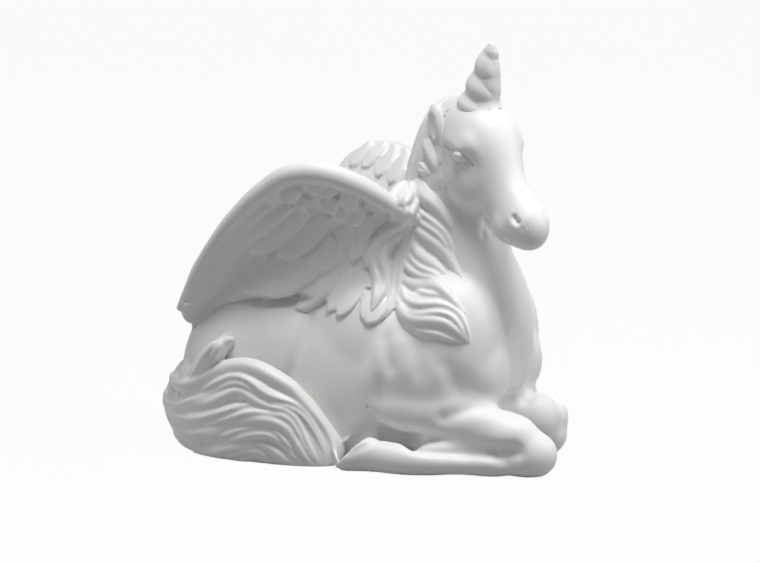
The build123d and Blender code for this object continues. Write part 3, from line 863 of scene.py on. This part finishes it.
class FIGURINE_OT_castings(bpy.types.Operator):
    """Part the carved body into its castings along their joints"""

    bl_idname = "figurine.castings"
    bl_label = "Castings"

    def execute(self, context):
        body = bpy.data.objects["body"]
        skin = normals_of(body)
        source = body.data.attributes.new("source", "INT", "POINT")
        source.data.foreach_set("value", np.arange(len(skin)))
        labels = casting_labels(body, BODY_NODES)
        for row, node in enumerate(BODY_NODES):
            part = bmesh.new()
            part.from_mesh(body.data)
            part.faces.ensure_lookup_table()
            others = [part.faces[index] for index in (labels != row).nonzero()[0]]
            bmesh.ops.delete(part, geom=others, context="FACES")
            close_joints(part, skin)
            mesh = bpy.data.meshes.new(f"{node}_carved")
            part.to_mesh(mesh)
            part.free()
            obj = bpy.data.objects.new(f"{node}_carved", mesh)
            context.scene.collection.objects.link(obj)
            finish_piece(obj, node)
            index = np.empty(len(mesh.vertices), int)
            mesh.attributes["source"].data.foreach_get("value", index)
            mesh.attributes.remove(mesh.attributes["source"])
            mesh.normals_split_custom_set_from_vertices(skin[index])
        bpy.data.objects.remove(body)
        return {"FINISHED"}


# The horn: how far its tip and its foot are from the seat, how far its foot is set to the
# camera's left, its turns, and its radius in millimetres from foot to tip
HORN_ABOVE = 20.4 * MM
HORN_BELOW = 4.5 * MM
HORN_ASIDE = 1.9 * MM
HORN_TURNS = 4.0
HORN_GIRTHS = ([0, 0.24, 0.36, 0.54, 0.77, 0.89, 0.97, 1.0], [6.4, 6.0, 5.3, 4.5, 3.3, 2.3, 1.1, 0.1])


class FIGURINE_OT_horn(bpy.types.Operator):
    """Turn the horn as a tapering left-handed spiral"""

    bl_idname = "figurine.horn"
    bl_label = "Horn"

    def execute(self, context):
        tip = head_at(0, 7.6, 3.2) * MM + HORN_AXIS * HORN_ABOVE
        foot = head_at(0, 7.6, 3.2) * MM - HORN_AXIS * HORN_BELOW - ACROSS * HORN_ASIDE
        axis = (tip - foot).normalized()
        length = (tip - foot).length
        rows, sides = 150, 72
        across = (HEAD_LEFT - axis * HEAD_LEFT.dot(axis)).normalized()
        ahead = axis.cross(across)
        points = []
        for row in range(rows):
            rise = row / (rows - 1)
            girth = MM * np.interp(rise, *HORN_GIRTHS)
            for side in range(sides):
                angle = 2 * pi * side / sides
                wave = abs(sin((angle + 2 * pi * HORN_TURNS * rise**0.9) / 2)) ** 1.3
                reach = girth * (0.84 + 0.17 * wave)
                out = across * cos(angle) * reach + ahead * sin(angle) * reach
                points.append(foot + axis * length * rise + out)
        points += [foot, tip]
        faces = []
        for row in range(rows - 1):
            for side in range(sides):
                there = (side + 1) % sides
                low, high = row * sides, (row + 1) * sides
                faces.append((low + side, low + there, high + there, high + side))
        last = (rows - 1) * sides
        for side in range(sides):
            there = (side + 1) % sides
            faces.append((there, side, rows * sides))
            faces.append((last + side, last + there, rows * sides + 1))
        mesh = bpy.data.meshes.new("horn_spiral")
        mesh.from_pydata(points, [], faces)
        horn = bpy.data.objects.new("horn_spiral", mesh)
        context.scene.collection.objects.link(horn)
        edit(horn)
        bpy.ops.mesh.normals_make_consistent(inside=False)
        close_edit()
        finish_piece(horn, "horn")
        return {"FINISHED"}

# Wing ribs from shoulder to tip, as the solids have them: length, crest, hem, and how far out
# the crest and the hem stand, as shares of the wing's length, rise and spread
WING_ROOT_X = 19.2 * MM
WING_LENGTH = 69.0 * MM
WING_RISE = 31.5 * MM
WING_SPREAD = 62.0 * MM
WING_CUP = 6.0 * MM
WING_OVERHANG = 4.0 * MM
LEFT_CREST_RISE = 7.0 * MM
BACK_HEIGHT = 58.0 * MM
BLADE_THICKNESS = 3.6 * MM
RIB_SHARES = np.array(
    [
        (0.00, 0.520, -0.380, 0.200, 0.300),
        (0.15, 0.790, -0.450, 0.320, 0.345),
        (0.30, 0.945, -0.370, 0.435, 0.365),
        (0.45, 0.915, -0.290, 0.490, 0.375),
        (0.60, 0.670, -0.310, 0.505, 0.385),
        (0.75, 0.350, -0.410, 0.495, 0.390),
        (0.90, -0.080, -0.550, 0.475, 0.375),
        (1.00, -0.500, -0.720, 0.440, 0.385),
    ]
)
# Feathers of one face, row by row from the hem up: width and lift off the blade, then the
# place of each base and tip from shoulder to tip and from crest to hem
FEATHER_ROWS = [
    (
        7.6,
        0.2,
        [
            ((0.52, 0.14), (1.00, 0.40)),
            ((0.50, 0.22), (0.99, 0.80)),
            ((0.48, 0.30), (0.93, 0.98)),
            ((0.45, 0.36), (0.85, 1.00)),
            ((0.42, 0.40), (0.76, 1.01)),
            ((0.38, 0.43), (0.66, 1.02)),
            ((0.34, 0.46), (0.56, 1.03)),
            ((0.29, 0.48), (0.46, 1.04)),
            ((0.24, 0.50), (0.36, 1.06)),
            ((0.19, 0.52), (0.26, 1.08)),
            ((0.13, 0.53), (0.16, 1.08)),
            ((0.08, 0.54), (0.07, 1.06)),
        ],
    ),
    (
        7.0,
        0.7,
        [
            ((0.52, 0.08), (0.86, 0.26)),
            ((0.50, 0.14), (0.82, 0.48)),
            ((0.46, 0.20), (0.74, 0.64)),
            ((0.41, 0.24), (0.64, 0.72)),
            ((0.36, 0.27), (0.54, 0.76)),
            ((0.31, 0.29), (0.44, 0.79)),
            ((0.25, 0.31), (0.34, 0.82)),
            ((0.19, 0.33), (0.24, 0.84)),
            ((0.13, 0.35), (0.15, 0.84)),
            ((0.07, 0.37), (0.05, 0.82)),
        ],
    ),
    (
        6.2,
        1.2,
        [
            ((0.54, 0.05), (0.68, 0.18)),
            ((0.50, 0.07), (0.65, 0.32)),
            ((0.44, 0.10), (0.58, 0.42)),
            ((0.38, 0.12), (0.50, 0.48)),
            ((0.32, 0.13), (0.42, 0.52)),
            ((0.26, 0.14), (0.33, 0.54)),
            ((0.20, 0.15), (0.25, 0.56)),
            ((0.14, 0.17), (0.17, 0.58)),
            ((0.08, 0.20), (0.08, 0.58)),
        ],
    ),
    (
        5.6,
        1.6,
        [
            ((0.48, 0.03), (0.55, 0.18)),
            ((0.41, 0.03), (0.48, 0.22)),
            ((0.34, 0.03), (0.40, 0.26)),
            ((0.27, 0.03), (0.32, 0.28)),
            ((0.20, 0.03), (0.24, 0.30)),
            ((0.13, 0.03), (0.16, 0.32)),
            ((0.07, 0.03), (0.09, 0.33)),
        ],
    ),
]
# Feathers of the outer face by the pixels that they run through from base to tip: width and lift
# off the blade in millimetres
OUTER_FEATHERS = [
    (6.5, 0.1, [(348, 236), (341, 258), (328, 279), (312, 297), (296, 310)]),
    (6.0, 0.2, [(355, 246), (350, 268), (341, 290), (328, 313)]),
    (6.0, 0.3, [(364, 258), (360, 278), (350, 299), (338, 316)]),
    (8.0, 0.4, [(376, 272), (376, 292), (373, 308), (367, 324)]),
    (7.0, 0.2, [(208, 270), (199, 288), (193, 305), (192, 322)]),
    (6.5, 0.3, [(236, 262), (227, 281), (213, 302), (200, 324)]),
    (6.0, 0.4, [(250, 252), (240, 268), (228, 284), (214, 302)]),
    (6.0, 0.5, [(264, 250), (253, 266), (240, 282), (224, 296)]),
    (6.0, 0.5, [(281, 252), (270, 265), (257, 278), (242, 289)]),
    (6.5, 0.5, [(302, 255), (288, 269), (271, 282), (250, 292)]),
    (8.0, 0.5, [(333, 234), (326, 252), (308, 269), (287, 283), (262, 293)]),
    (6.0, 0.7, [(344, 226), (340, 243), (330, 258), (318, 270)]),
    (4.6, 0.8, [(268, 205), (246, 222), (225, 246), (208, 274)]),
    (4.6, 0.9, [(240, 241), (228, 256), (214, 276), (204, 296)]),
    (5.0, 1.0, [(292, 204), (266, 222), (243, 236), (226, 256)]),
    (7.5, 1.0, [(309, 208), (288, 224), (266, 239), (244, 245)]),
    (7.0, 1.0, [(328, 214), (313, 231), (297, 244), (279, 252)]),
    (5.2, 1.0, [(334, 236), (330, 247), (322, 257), (310, 261)]),
    (4.2, 1.0, [(352, 216), (350, 232), (343, 246)]),
    (4.2, 1.0, [(360, 226), (359, 243), (352, 259)]),
    (3.8, 1.0, [(368, 232), (369, 250), (367, 266)]),
]
HEM_FEATHERS = 4  # the first of them, whose tips lie on the flank
# The small rounded coverts under the crest
COVERTS = [
    (4.8, 1.3, [(300, 186), (292, 192), (283, 198)]),
    (4.4, 1.4, [(312, 196), (305, 200), (297, 204)]),
    (4.4, 1.6, [(326, 180), (318, 184), (310, 188)]),
    (4.0, 1.6, [(338, 184), (330, 188), (322, 191)]),
    (4.8, 1.4, [(338, 197), (332, 202), (325, 208)]),
    (4.2, 1.4, [(348, 204), (343, 210), (337, 216)]),
    (5.6, 1.8, [(356, 184), (350, 193), (350, 206)]),
    (4.6, 1.4, [(362, 202), (358, 212), (352, 222)]),
    (4.4, 1.4, [(370, 212), (367, 224), (363, 236)]),
]
FEATHER_OUTLINE = ([0.0, 0.15, 0.45, 0.75, 0.90, 0.97, 1.0], [0.40, 0.72, 1.0, 1.0, 0.78, 0.46, 0.08])
WING_ROOT_REACH = (3.0, 8.0, -3.0)  # from the front of the crest into the neck
RIM_GIRTHS = ([0, 0.12, 0.3, 0.7, 1], [2.2, 3.0, 3.5, 2.4, 1.3])
RIM_OVERHANG = 1.5 * MM
FEATHER_CROWN = 0.60 * MM
FEATHER_SHAFT = 0.12 * MM
FEATHER_TILT = 0.40 * MM
FEATHER_TIP_LIFT = 0.6
FEATHER_ROOT = 1.2 * MM


def wing_point(length, drop):
    """A point in the middle of the right wing's blade."""
    top, bottom, top_out, bottom_out = (
        np.interp(length, RIB_SHARES[:, 0], RIB_SHARES[:, column]) for column in range(1, 5)
    )
    cup = WING_CUP * min(1, top - bottom) * 4 * drop * (1 - drop)
    out = (top_out + drop * (bottom_out - top_out)) * WING_SPREAD - cup + WING_OVERHANG * (0.5 - drop)
    height = BACK_HEIGHT + (top + drop * (bottom - top)) * WING_RISE
    return np.array((WING_ROOT_X - length * WING_LENGTH, RIGHT * out + 0.1 * MM, height))


def wing_outward(length, drop):
    """The way out of the wing's outer face."""
    step = 0.04
    along = wing_point(min(length + step, 1), drop) - wing_point(max(length - step, 0), drop)
    down = wing_point(length, drop + step) - wing_point(length, drop - step)
    out = np.cross(along, down)
    out /= np.linalg.norm(out)
    return out if out[1] < 0 else -out


def grid_faces(rows, columns, start=0):
    """Four-sided faces of a grid of points."""
    return [
        (start + r * columns + c, start + r * columns + c + 1, start + (r + 1) * columns + c + 1, start + (r + 1) * columns + c)
        for r in range(rows - 1)
        for c in range(columns - 1)
    ]


def shell_mesh(name, upper, lower):
    """A closed shell between two grids of points."""
    rows, columns = upper.shape[:2]
    count = rows * columns
    points = np.concatenate([upper.reshape(-1, 3), lower.reshape(-1, 3)])
    faces = grid_faces(rows, columns) + [face[::-1] for face in grid_faces(rows, columns, count)]
    rim = [(0, c) for c in range(columns)] + [(r, columns - 1) for r in range(1, rows)]
    rim += [(rows - 1, c) for c in range(columns - 2, -1, -1)] + [(r, 0) for r in range(rows - 2, 0, -1)]
    rim = [r * columns + c for r, c in rim]
    for here, there in zip(rim, rim[1:] + rim[:1]):
        faces.append((there, here, here + count, there + count))
    mesh = bpy.data.meshes.new(name)
    mesh.from_pydata(points.tolist(), [], faces)
    obj = bpy.data.objects.new(name, mesh)
    bpy.context.scene.collection.objects.link(obj)
    return obj


def share_line(base, tip, face):
    """The line of a feather between two places on a face of the blade, with the way out."""
    base, tip = np.array(base), np.array(tip)
    bow = np.array((0.0, -0.05)) * abs(tip[0] - base[0]) * 2
    places = [base + (tip - base) * t + bow * 4 * t * (1 - t) for t in np.linspace(0, 1, 18)]
    outward = np.array([wing_outward(*place) * face for place in places])
    line = np.array([wing_point(*place) for place in places])
    return line + outward * BLADE_THICKNESS / 2, outward


def feather(line, outward, width, lift):
    """One low feather along a line, rounded at its tip, with a soft shaft and its lower edge raised."""
    t = np.linspace(0, 1, len(line))
    share = np.linspace(-1, 1, 13)
    across = np.cross(np.gradient(line, axis=0), outward)
    across /= np.linalg.norm(across, axis=1)[:, None]
    across *= np.where(across[:, 2] > 0, -1, 1)[:, None]
    half = width / 2 * MM * np.interp(t, *FEATHER_OUTLINE)
    rise = (lift - 0.3 + FEATHER_TIP_LIFT * t) * MM
    crown = FEATHER_CROWN * (1 - share**2) ** 0.5
    shaft = FEATHER_SHAFT * np.exp(-((share / 0.2) ** 2)) * (1 - t**3)[:, None]
    height = rise[:, None] + crown + shaft + FEATHER_TILT * share
    spot = line[:, None, :] + (half[:, None] * share)[:, :, None] * across[:, None, :]
    upper = spot + height[:, :, None] * outward[:, None, :]
    lower = spot - FEATHER_ROOT * outward[:, None, :]
    return shell_mesh("feather", upper, lower)


class FIGURINE_OT_wings(bpy.types.Operator):
    """Model the cupped right wing feather by feather and mirror it to the left"""

    bl_idname = "figurine.wings"
    bl_label = "Wings"

    def execute(self, context):
        rows, columns = 60, 30
        outer, inner = np.empty((rows, columns, 3)), np.empty((rows, columns, 3))
        for row, length in enumerate(np.linspace(0, 1, rows)):
            for column, drop in enumerate(np.linspace(0, 1, columns)):
                half = wing_outward(length, drop) * BLADE_THICKNESS / 2
                outer[row, column] = wing_point(length, drop) + half
                inner[row, column] = wing_point(length, drop) - half
        forms = [shell_mesh("blade", outer, inner)]
        edit(forms[0])
        bpy.ops.mesh.normals_make_consistent(inside=False)
        close_edit()
        blade = tree_of(forms[0])
        under = joined([copied("body"), copied("blade")], "under")
        tree = tree_of(under)
        bpy.data.objects.remove(under)
        crest = [
            wing_point(length, 0.02) + wing_outward(length, 0.1) * RIM_OVERHANG * (1 - length)
            for length in np.linspace(0, 1, 16)
        ]
        root = crest[0] + np.array(WING_ROOT_REACH) * MM
        girths = np.interp(np.linspace(0, 1, 16), *RIM_GIRTHS) * MM
        forms.append(strands_mesh("rim", [([root, *crest], [girths[0], *girths])], 5))
        for width, lift, places in FEATHER_ROWS:
            for base, tip in places:
                forms.append(feather(*share_line(base, tip, -1), width, lift))
        for row, (width, lift, pixels) in enumerate(OUTER_FEATHERS + COVERTS):
            bed = tree if row < HEM_FEATHERS else blade
            forms.append(feather(*seen_line(bed, pixels, beyond=True), width, lift))
        for form in forms[1:]:
            edit(form)
            bpy.ops.mesh.normals_make_consistent(inside=False)
            close_edit()
        right = joined(forms, "right_wing_feathered")
        outer_skin(run_together(right, sizes().wing_grain, 4))
        left = bpy.data.objects.new("left_wing_feathered", right.data.copy())
        context.scene.collection.objects.link(left)
        left.data.transform(Matrix.Diagonal((1, -1, 1, 1)))
        left.data.flip_normals()
        points = points_of(left)
        length = (WING_ROOT_X - points[:, 0]) / WING_LENGTH
        high = np.clip((points[:, 2] - BACK_HEIGHT) / WING_RISE, 0, 1)
        points[:, 2] += LEFT_CREST_RISE * np.exp(-(((length - 0.66) / 0.18) ** 2)) * high
        put_points(left, points)
        finish_piece(right, "right_wing")
        finish_piece(left, "left_wing")
        return {"FINISHED"}


# Locks of the mane on the right side, by the pixels that they run through: width and height in
# millimetres, then the path from root to tip
MANE_LOCKS = [
    (5.0, 1.8, [(428, 118), (425, 133), (427, 146), (433, 160), (436, 173)]),
    (6.0, 2.2, [(425, 124), (419, 140), (417, 156), (422, 168), (431, 175)]),
    (6.5, 2.4, [(420, 146), (412, 164), (414, 180), (424, 195), (436, 207), (447, 221), (452, 234)]),
    (6.5, 2.4, [(414, 163), (406, 180), (408, 197), (416, 211), (428, 223), (440, 233), (449, 246), (452, 258)]),
    (6.5, 2.2, [(408, 182), (405, 198), (408, 214), (417, 229), (431, 241), (444, 251), (453, 264), (464, 280)]),
    (7.0, 3.0, [(413, 238), (407, 250), (409, 262), (420, 271), (432, 276), (443, 280)]),
    (6.5, 2.2, [(416, 230), (413, 243), (420, 255), (434, 264), (447, 275)]),
    (6.0, 2.4, [(405, 280), (409, 291), (422, 297), (437, 298), (450, 305)]),
    (6.5, 3.0, [(405, 258), (402, 271), (409, 281), (422, 285), (436, 286), (447, 295), (456, 306), (466, 313)]),
    (7.5, 3.2, [(402, 277), (401, 292), (408, 304), (423, 310), (440, 310), (454, 316), (463, 329), (470, 344)]),
    (6.5, 3.0, [(401, 296), (405, 312), (416, 320), (432, 322), (446, 324), (458, 332), (468, 343)]),
    (6.0, 2.0, [(403, 308), (410, 322), (423, 329), (440, 332), (455, 337), (468, 344)]),
]
# Locks that cross from the neck to the front of the right wing: a root on the neck, then the rest
BRIDGE_LOCKS = [
    (5.5, 2.2, (409, 164), [(397, 197), (384, 219)]),
    (5.5, 2.2, (412, 178), [(403, 204), (389, 224)]),
    (5.0, 2.0, (415, 192), [(409, 213), (398, 228)]),
]
# Locks that hang over the front of the right wing
WING_ROOT_LOCKS = [
    (8.0, 3.2, [(410, 222), (396, 228), (382, 242), (378, 257), (381, 271), (381, 285), (377, 298), (371, 312)]),
    (6.0, 2.8, [(409, 228), (406, 250), (399, 269), (396, 291), (389, 308), (377, 321)]),
]
# Locks along the crest: height in millimetres and angle round the neck from the front
CREST_LOCKS = [
    (7.0, [(108, 184), (103, 184), (95, 184), (86, 184), (78, 184), (70, 188), (64, 196)]),
    (6.5, [(107, 204), (102, 208), (94, 206), (86, 204), (78, 203), (70, 208), (64, 218)]),
    (6.5, [(105, 224), (100, 228), (93, 226), (86, 222), (79, 218), (71, 224), (65, 234)]),
    (6.5, [(107, 164), (102, 160), (94, 162), (86, 164), (78, 165), (70, 160), (64, 152)]),
    (6.5, [(105, 146), (100, 142), (93, 144), (86, 146), (79, 150), (71, 146), (65, 140)]),
]
CREST_HEIGHT = 2.6


def neck_line(tree, path):
    """A line of points on the neck by height and angle round it, with the way out."""
    points, normals = [], []
    for height, angle in smooth_line(path, 5):
        out = Vector((cos(radians(angle)), sin(radians(angle)), 0))
        middle = NECK_LINE + Vector((0, 0, height * MM))
        point, normal, _, _ = tree.ray_cast(middle + out * 80 * MM, -out)
        points.append(np.array(point or middle))
        normals.append(np.array(normal or out))
    normals = evened(normals, 6)
    return evened(points, 3), normals / np.linalg.norm(normals, axis=1)[:, None]


class FIGURINE_OT_mane(bpy.types.Operator):
    """Comb the mane over the crest and down both sides of the neck"""

    bl_idname = "figurine.mane"
    bl_label = "Mane"

    def execute(self, context):
        body = tree_of(bpy.data.objects["body"])
        winged = joined([copied("body"), copied("right_wing_feathered")], "winged")
        over_wing = tree_of(winged)
        bpy.data.objects.remove(winged)
        crest, right, left = [], [], []
        for seed, (width, path) in enumerate(CREST_LOCKS):
            crest.append(lock_mesh(*neck_line(body, path), width, CREST_HEIGHT, seed))
        for seed, (width, height, pixels) in enumerate(MANE_LOCKS):
            points, normals = seen_line(body, pixels)
            strands = 1 + seed % 2
            right.append(lock_mesh(points, normals, width, height, seed, strands))
            left.append(lock_mesh(*other_side(body, points), width, height, seed + 2, strands))
        for seed, (width, height, pixels) in enumerate(WING_ROOT_LOCKS):
            points, normals = seen_line(over_wing, pixels, passes=5)
            right.append(lock_mesh(points, normals, width, height, seed + 1))
        for seed, (width, height, root, pixels) in enumerate(BRIDGE_LOCKS):
            start, start_out = seen(body, [root])
            rest, rest_out = seen(over_wing, pixels)
            points = smooth_line(np.concatenate([start, rest]), 7)
            normals = evened(smooth_line(np.concatenate([start_out, rest_out]), 7), 6)
            normals /= np.linalg.norm(normals, axis=1)[:, None]
            right.append(lock_mesh(points, normals, width, height, seed))
        for locks, node in ((crest, "mane_crest"), (right, "right_mane"), (left, "left_mane")):
            for lock in locks:
                edit(lock)
                bpy.ops.mesh.normals_make_consistent(inside=False)
                close_edit()
            piece = joined(locks, f"{node}_combed")
            run_together(piece, sizes().hair_grain, 3)
            finish_piece(piece, node)
        return {"FINISHED"}


# Locks of the tail, by the pixels that they run through: width and height in millimetres
TAIL_LOCKS = [
    (6.0, 2.2, [(181, 386), (193, 383), (208, 376), (224, 368), (243, 365), (260, 369), (277, 378), (293, 387),
                (303, 398), (315, 412), (327, 427), (336, 444), (342, 464)]),
    (5.5, 2.0, [(170, 402), (184, 401), (202, 394), (219, 384), (236, 378), (251, 383), (264, 393), (279, 400),
                (294, 405), (306, 414), (316, 428), (325, 446), (336, 465)]),
    (5.0, 1.8, [(171, 409), (192, 407), (210, 402), (226, 394), (238, 390), (249, 396), (261, 404), (276, 408),
                (290, 412)]),
    (6.5, 2.2, [(170, 416), (188, 421), (207, 419), (227, 414), (246, 410), (267, 411), (284, 413), (296, 422),
                (305, 438), (315, 455), (328, 466)]),
    (6.0, 2.2, [(175, 427), (195, 433), (215, 429), (236, 423), (257, 420), (276, 422), (290, 430), (299, 443),
                (308, 456), (317, 465)]),
    (6.0, 2.0, [(188, 440), (208, 444), (227, 439), (246, 433), (263, 431), (277, 434), (288, 444), (298, 455),
                (306, 464)]),
    (5.5, 1.8, [(212, 452), (231, 448), (246, 444), (260, 442), (273, 447), (284, 456), (294, 464)]),
    (5.0, 1.6, [(232, 457), (244, 453), (256, 451), (267, 456), (277, 464)]),
]
TAIL_FLICKS = [
    (5.5, 1.7, [(181, 389), (197, 373), (207, 358), (214, 345), (222, 337), (233, 333)]),
    (4.0, 1.4, [(193, 383), (209, 371), (219, 357), (228, 342)]),
    (5.0, 1.8, [(171, 404), (177, 387), (183, 369), (190, 352), (197, 332)]),
]
TAIL_BED_PASSES = 14
TAIL_SQUEEZE = 0.04
TAIL_REAR_STEPS = ((-34, 0.45), (-20, 0.75), (-9, 0.95))  # turn in degrees, share of the height kept
TAIL_ROOT_HEIGHT = 24.0 * MM
TAIL_ROOT_TURN = 24.0  # degrees over which the root runs out into the rump
TAIL_ROOT_DEPTH = 0.6 * MM
TAIL_SINK = 1.2 * MM


def round_the_rear(tree, points, normals):
    """A lock's line carried on round the rump to the tail's root, where the camera doesn't see it."""
    x, y, z = points[0] - np.array(TAIL_MIDDLE)
    start = atan2(y / TAIL_HALF_WIDTH, x / TAIL_HALF_REACH)
    more, outs = [], []
    for turn, kept in TAIL_REAR_STEPS:
        angle = start + radians(turn)
        out = Vector((cos(angle) * TAIL_HALF_REACH, sin(angle) * TAIL_HALF_WIDTH, 0))
        height = z * kept + TAIL_ROOT_HEIGHT * (1 - kept)
        point, normal, _, _ = tree.find_nearest(TAIL_MIDDLE + out * 1.1 + Vector((0, 0, height)))
        more.append(np.array(point))
        outs.append(np.array(normal))
    line = smooth_line([*more, points[0]], 5)[:-1]
    ways = smooth_line([*outs, normals[0]], 5)[:-1]
    points, normals = np.concatenate([line, points]), np.concatenate([ways, normals])
    return evened(points, 3), normals / np.linalg.norm(normals, axis=1)[:, None]


def thin_tail_root(piece):
    """Thins the hidden end of the tail down into the rump."""
    rump = tree_of(bpy.data.objects["body"])
    points = points_of(piece)
    x, y, _ = (points - np.array(TAIL_MIDDLE)).T
    turn = np.degrees(np.arctan2(-y / TAIL_HALF_WIDTH, -x / TAIL_HALF_REACH))
    kept = np.clip((turn - turn.min()) / TAIL_ROOT_TURN, 0, 1)
    kept = kept * kept * (3 - 2 * kept)
    for index in (kept < 1).nonzero()[0]:
        place, normal, _, _ = rump.find_nearest(Vector(points[index]))
        under = np.array(place - normal * TAIL_ROOT_DEPTH)
        points[index] = under + (points[index] - under) * kept[index]
    points[:, 2] = np.maximum(points[:, 2], 0)
    put_points(piece, points)


class FIGURINE_OT_tail(bpy.types.Operator):
    """Comb the tail round the right haunch to the fore hoof"""

    bl_idname = "figurine.tail"
    bl_label = "Tail"

    def execute(self, context):
        bed = run_together(copy_of("tail", "tail_bed"), sizes().hair_grain, TAIL_BED_PASSES)
        around = joined([copied("body"), copied("tail_bed")], "around")
        tree = tree_of(around)
        bpy.data.objects.remove(around)
        forms = [bed]
        for seed, (width, height, pixels) in enumerate(TAIL_LOCKS):
            line = round_the_rear(tree, *seen_line(tree, pixels))
            forms.append(lock_mesh(*line, width, height, 0.9 * seed, 1 + seed % 2))
        for seed, (width, height, pixels) in enumerate(TAIL_FLICKS):
            forms.append(lock_mesh(*seen_line(tree, pixels), width, height, seed))
        for form in forms[1:]:
            edit(form)
            bpy.ops.mesh.normals_make_consistent(inside=False)
            close_edit()
        piece = joined(forms, "tail_combed")
        run_together(piece, sizes().hair_grain, 3)
        points = points_of(piece)
        points[:, 0] += (TAIL_MIDDLE.x - points[:, 0]) * TAIL_SQUEEZE
        points[:, 2] = np.maximum(points[:, 2] - TAIL_SINK * np.exp(-points[:, 2] / BASE_REACH), 0)
        put_points(piece, points)
        thin_tail_root(piece)
        finish_piece(piece, "tail")
        return {"FINISHED"}


class FIGURINE_OT_ears(bpy.types.Operator):
    """Soften the two laid-back ears"""

    bl_idname = "figurine.ears"
    bl_label = "Ears"

    def execute(self, context):
        for node in ("right_ear", "left_ear"):
            ear = copy_of(node, f"{node}_soft")
            run_together(ear, 0.3 * MM, 4)
            finish_piece(ear, node)
        return {"FINISHED"}


# Soft lamps: place and size in metres, power in watts
LAMPS = (
    ("top", (0.22, -0.17, 0.93), 0.40, 7.8),
    ("right", (0.70, 0.25, 0.45), 0.5, 2.2),
    ("left", (-0.75, -0.40, 0.25), 0.5, 1.0),
)


SEEN_RAYS = ("Camera", "Glossy", "Transmission")


def white_seen(name, colour):
    """A pale matte floor that the camera sees as nearly white, with the object's shadow on it."""
    material = bpy.data.materials.new(name)
    material.use_nodes = True
    nodes, links = material.node_tree.nodes, material.node_tree.links
    shader = nodes["Principled BSDF"]
    shader.inputs["Base Color"].default_value = (*colour, 1)
    shader.inputs["Roughness"].default_value = 0.9
    glow = nodes.new("ShaderNodeEmission")
    glow.inputs["Strength"].default_value = 1.05
    mix = nodes.new("ShaderNodeMixShader")
    rays = nodes.new("ShaderNodeLightPath")
    seen_rays = [Shade(material.node_tree, rays.outputs[f"Is {kind} Ray"]) for kind in SEEN_RAYS]
    share = seen_rays[0].math("MAXIMUM", seen_rays[1]).math("MAXIMUM", seen_rays[2]) * 0.90
    links.new(share.socket, mix.inputs[0])
    links.new(shader.outputs[0], mix.inputs[1])
    links.new(glow.outputs[0], mix.inputs[2])
    links.new(mix.outputs[0], nodes["Material Output"].inputs["Surface"])
    return material


class FIGURINE_OT_stage(bpy.types.Operator):
    """Set the floor, the soft studio light and the camera"""

    bl_idname = "figurine.stage"
    bl_label = "Stage"

    def execute(self, context):
        scene = context.scene
        bpy.ops.object.select_all(action="DESELECT")
        bpy.ops.mesh.primitive_plane_add(size=40.0)
        floor = context.object
        floor.name = "floor"
        floor.data.materials.append(white_seen("floor", sizes().floor))
        world = bpy.data.worlds.new("studio")
        scene.world = world
        world.use_nodes = True
        nodes, links = world.node_tree.nodes, world.node_tree.links
        light = nodes["Background"]
        light.inputs["Color"].default_value = (1, 1, 1, 1)
        light.inputs["Strength"].default_value = sizes().sky
        seen = nodes.new("ShaderNodeBackground")
        seen.inputs["Color"].default_value = (1, 1, 1, 1)
        mix = nodes.new("ShaderNodeMixShader")
        rays = nodes.new("ShaderNodeLightPath")
        white = [Shade(world.node_tree, rays.outputs[f"Is {kind} Ray"]) for kind in SEEN_RAYS]
        share = white[0].math("MAXIMUM", white[1]).math("MAXIMUM", white[2])
        links.new(share.socket, mix.inputs[0])
        links.new(light.outputs[0], mix.inputs[1])
        links.new(seen.outputs[0], mix.inputs[2])
        links.new(mix.outputs[0], nodes["World Output"].inputs["Surface"])
        for name, place, size, power in LAMPS:
            data = bpy.data.lights.new(name, "AREA")
            data.size = size
            data.energy = power
            lamp = bpy.data.objects.new(name, data)
            scene.collection.objects.link(lamp)
            lamp.location = place
            lamp.rotation_euler = (Vector((0, 0, 0.05)) - Vector(place)).to_track_quat("-Z", "Y").to_euler()
        data = bpy.data.cameras.new("camera")
        camera = bpy.data.objects.new("camera", data)
        scene.collection.objects.link(camera)
        turn = Matrix((ACROSS, UPWARDS, TOWARDS)).transposed().to_4x4()
        camera.matrix_world = Matrix.Translation(CAMERA_PLACE) @ turn
        data.sensor_width = 36.0
        data.lens = data.sensor_width * CAMERA_DISTANCE / (FRAME_WIDTH * PIXEL)
        scene.camera = camera
        scene.view_settings.view_transform = "Standard"
        return {"FINISHED"}


class FIGURINE_PT_panel(bpy.types.Panel):
    """Lists the figurine's settings and pieces"""

    bl_idname = "FIGURINE_PT_panel"
    bl_label = "Figurine"
    bl_space_type = "VIEW_3D"
    bl_region_type = "UI"
    bl_category = "Figurine"

    def draw(self, context):
        for name in FigurineSizes.__annotations__:
            self.layout.prop(context.scene.figurine, name)
        for operator in OPERATORS:
            self.layout.operator(operator.bl_idname)


OPERATORS = (
    FIGURINE_OT_body,
    FIGURINE_OT_horn,
    FIGURINE_OT_ears,
    FIGURINE_OT_wings,
    FIGURINE_OT_mane,
    FIGURINE_OT_tail,
    FIGURINE_OT_castings,
    FIGURINE_OT_stage,
)
CLASSES = (FigurineSizes, *OPERATORS, FIGURINE_PT_panel)


def register():
    for cls in CLASSES:
        bpy.utils.register_class(cls)
    bpy.types.Scene.figurine = PointerProperty(type=FigurineSizes)


def unregister():
    del bpy.types.Scene.figurine
    for cls in reversed(CLASSES):
        bpy.utils.unregister_class(cls)


def main():
    register()
    for operator in OPERATORS:
        group, name = operator.bl_idname.split(".")
        getattr(getattr(bpy.ops, group), name)()


if __name__ == "__main__":
    main()
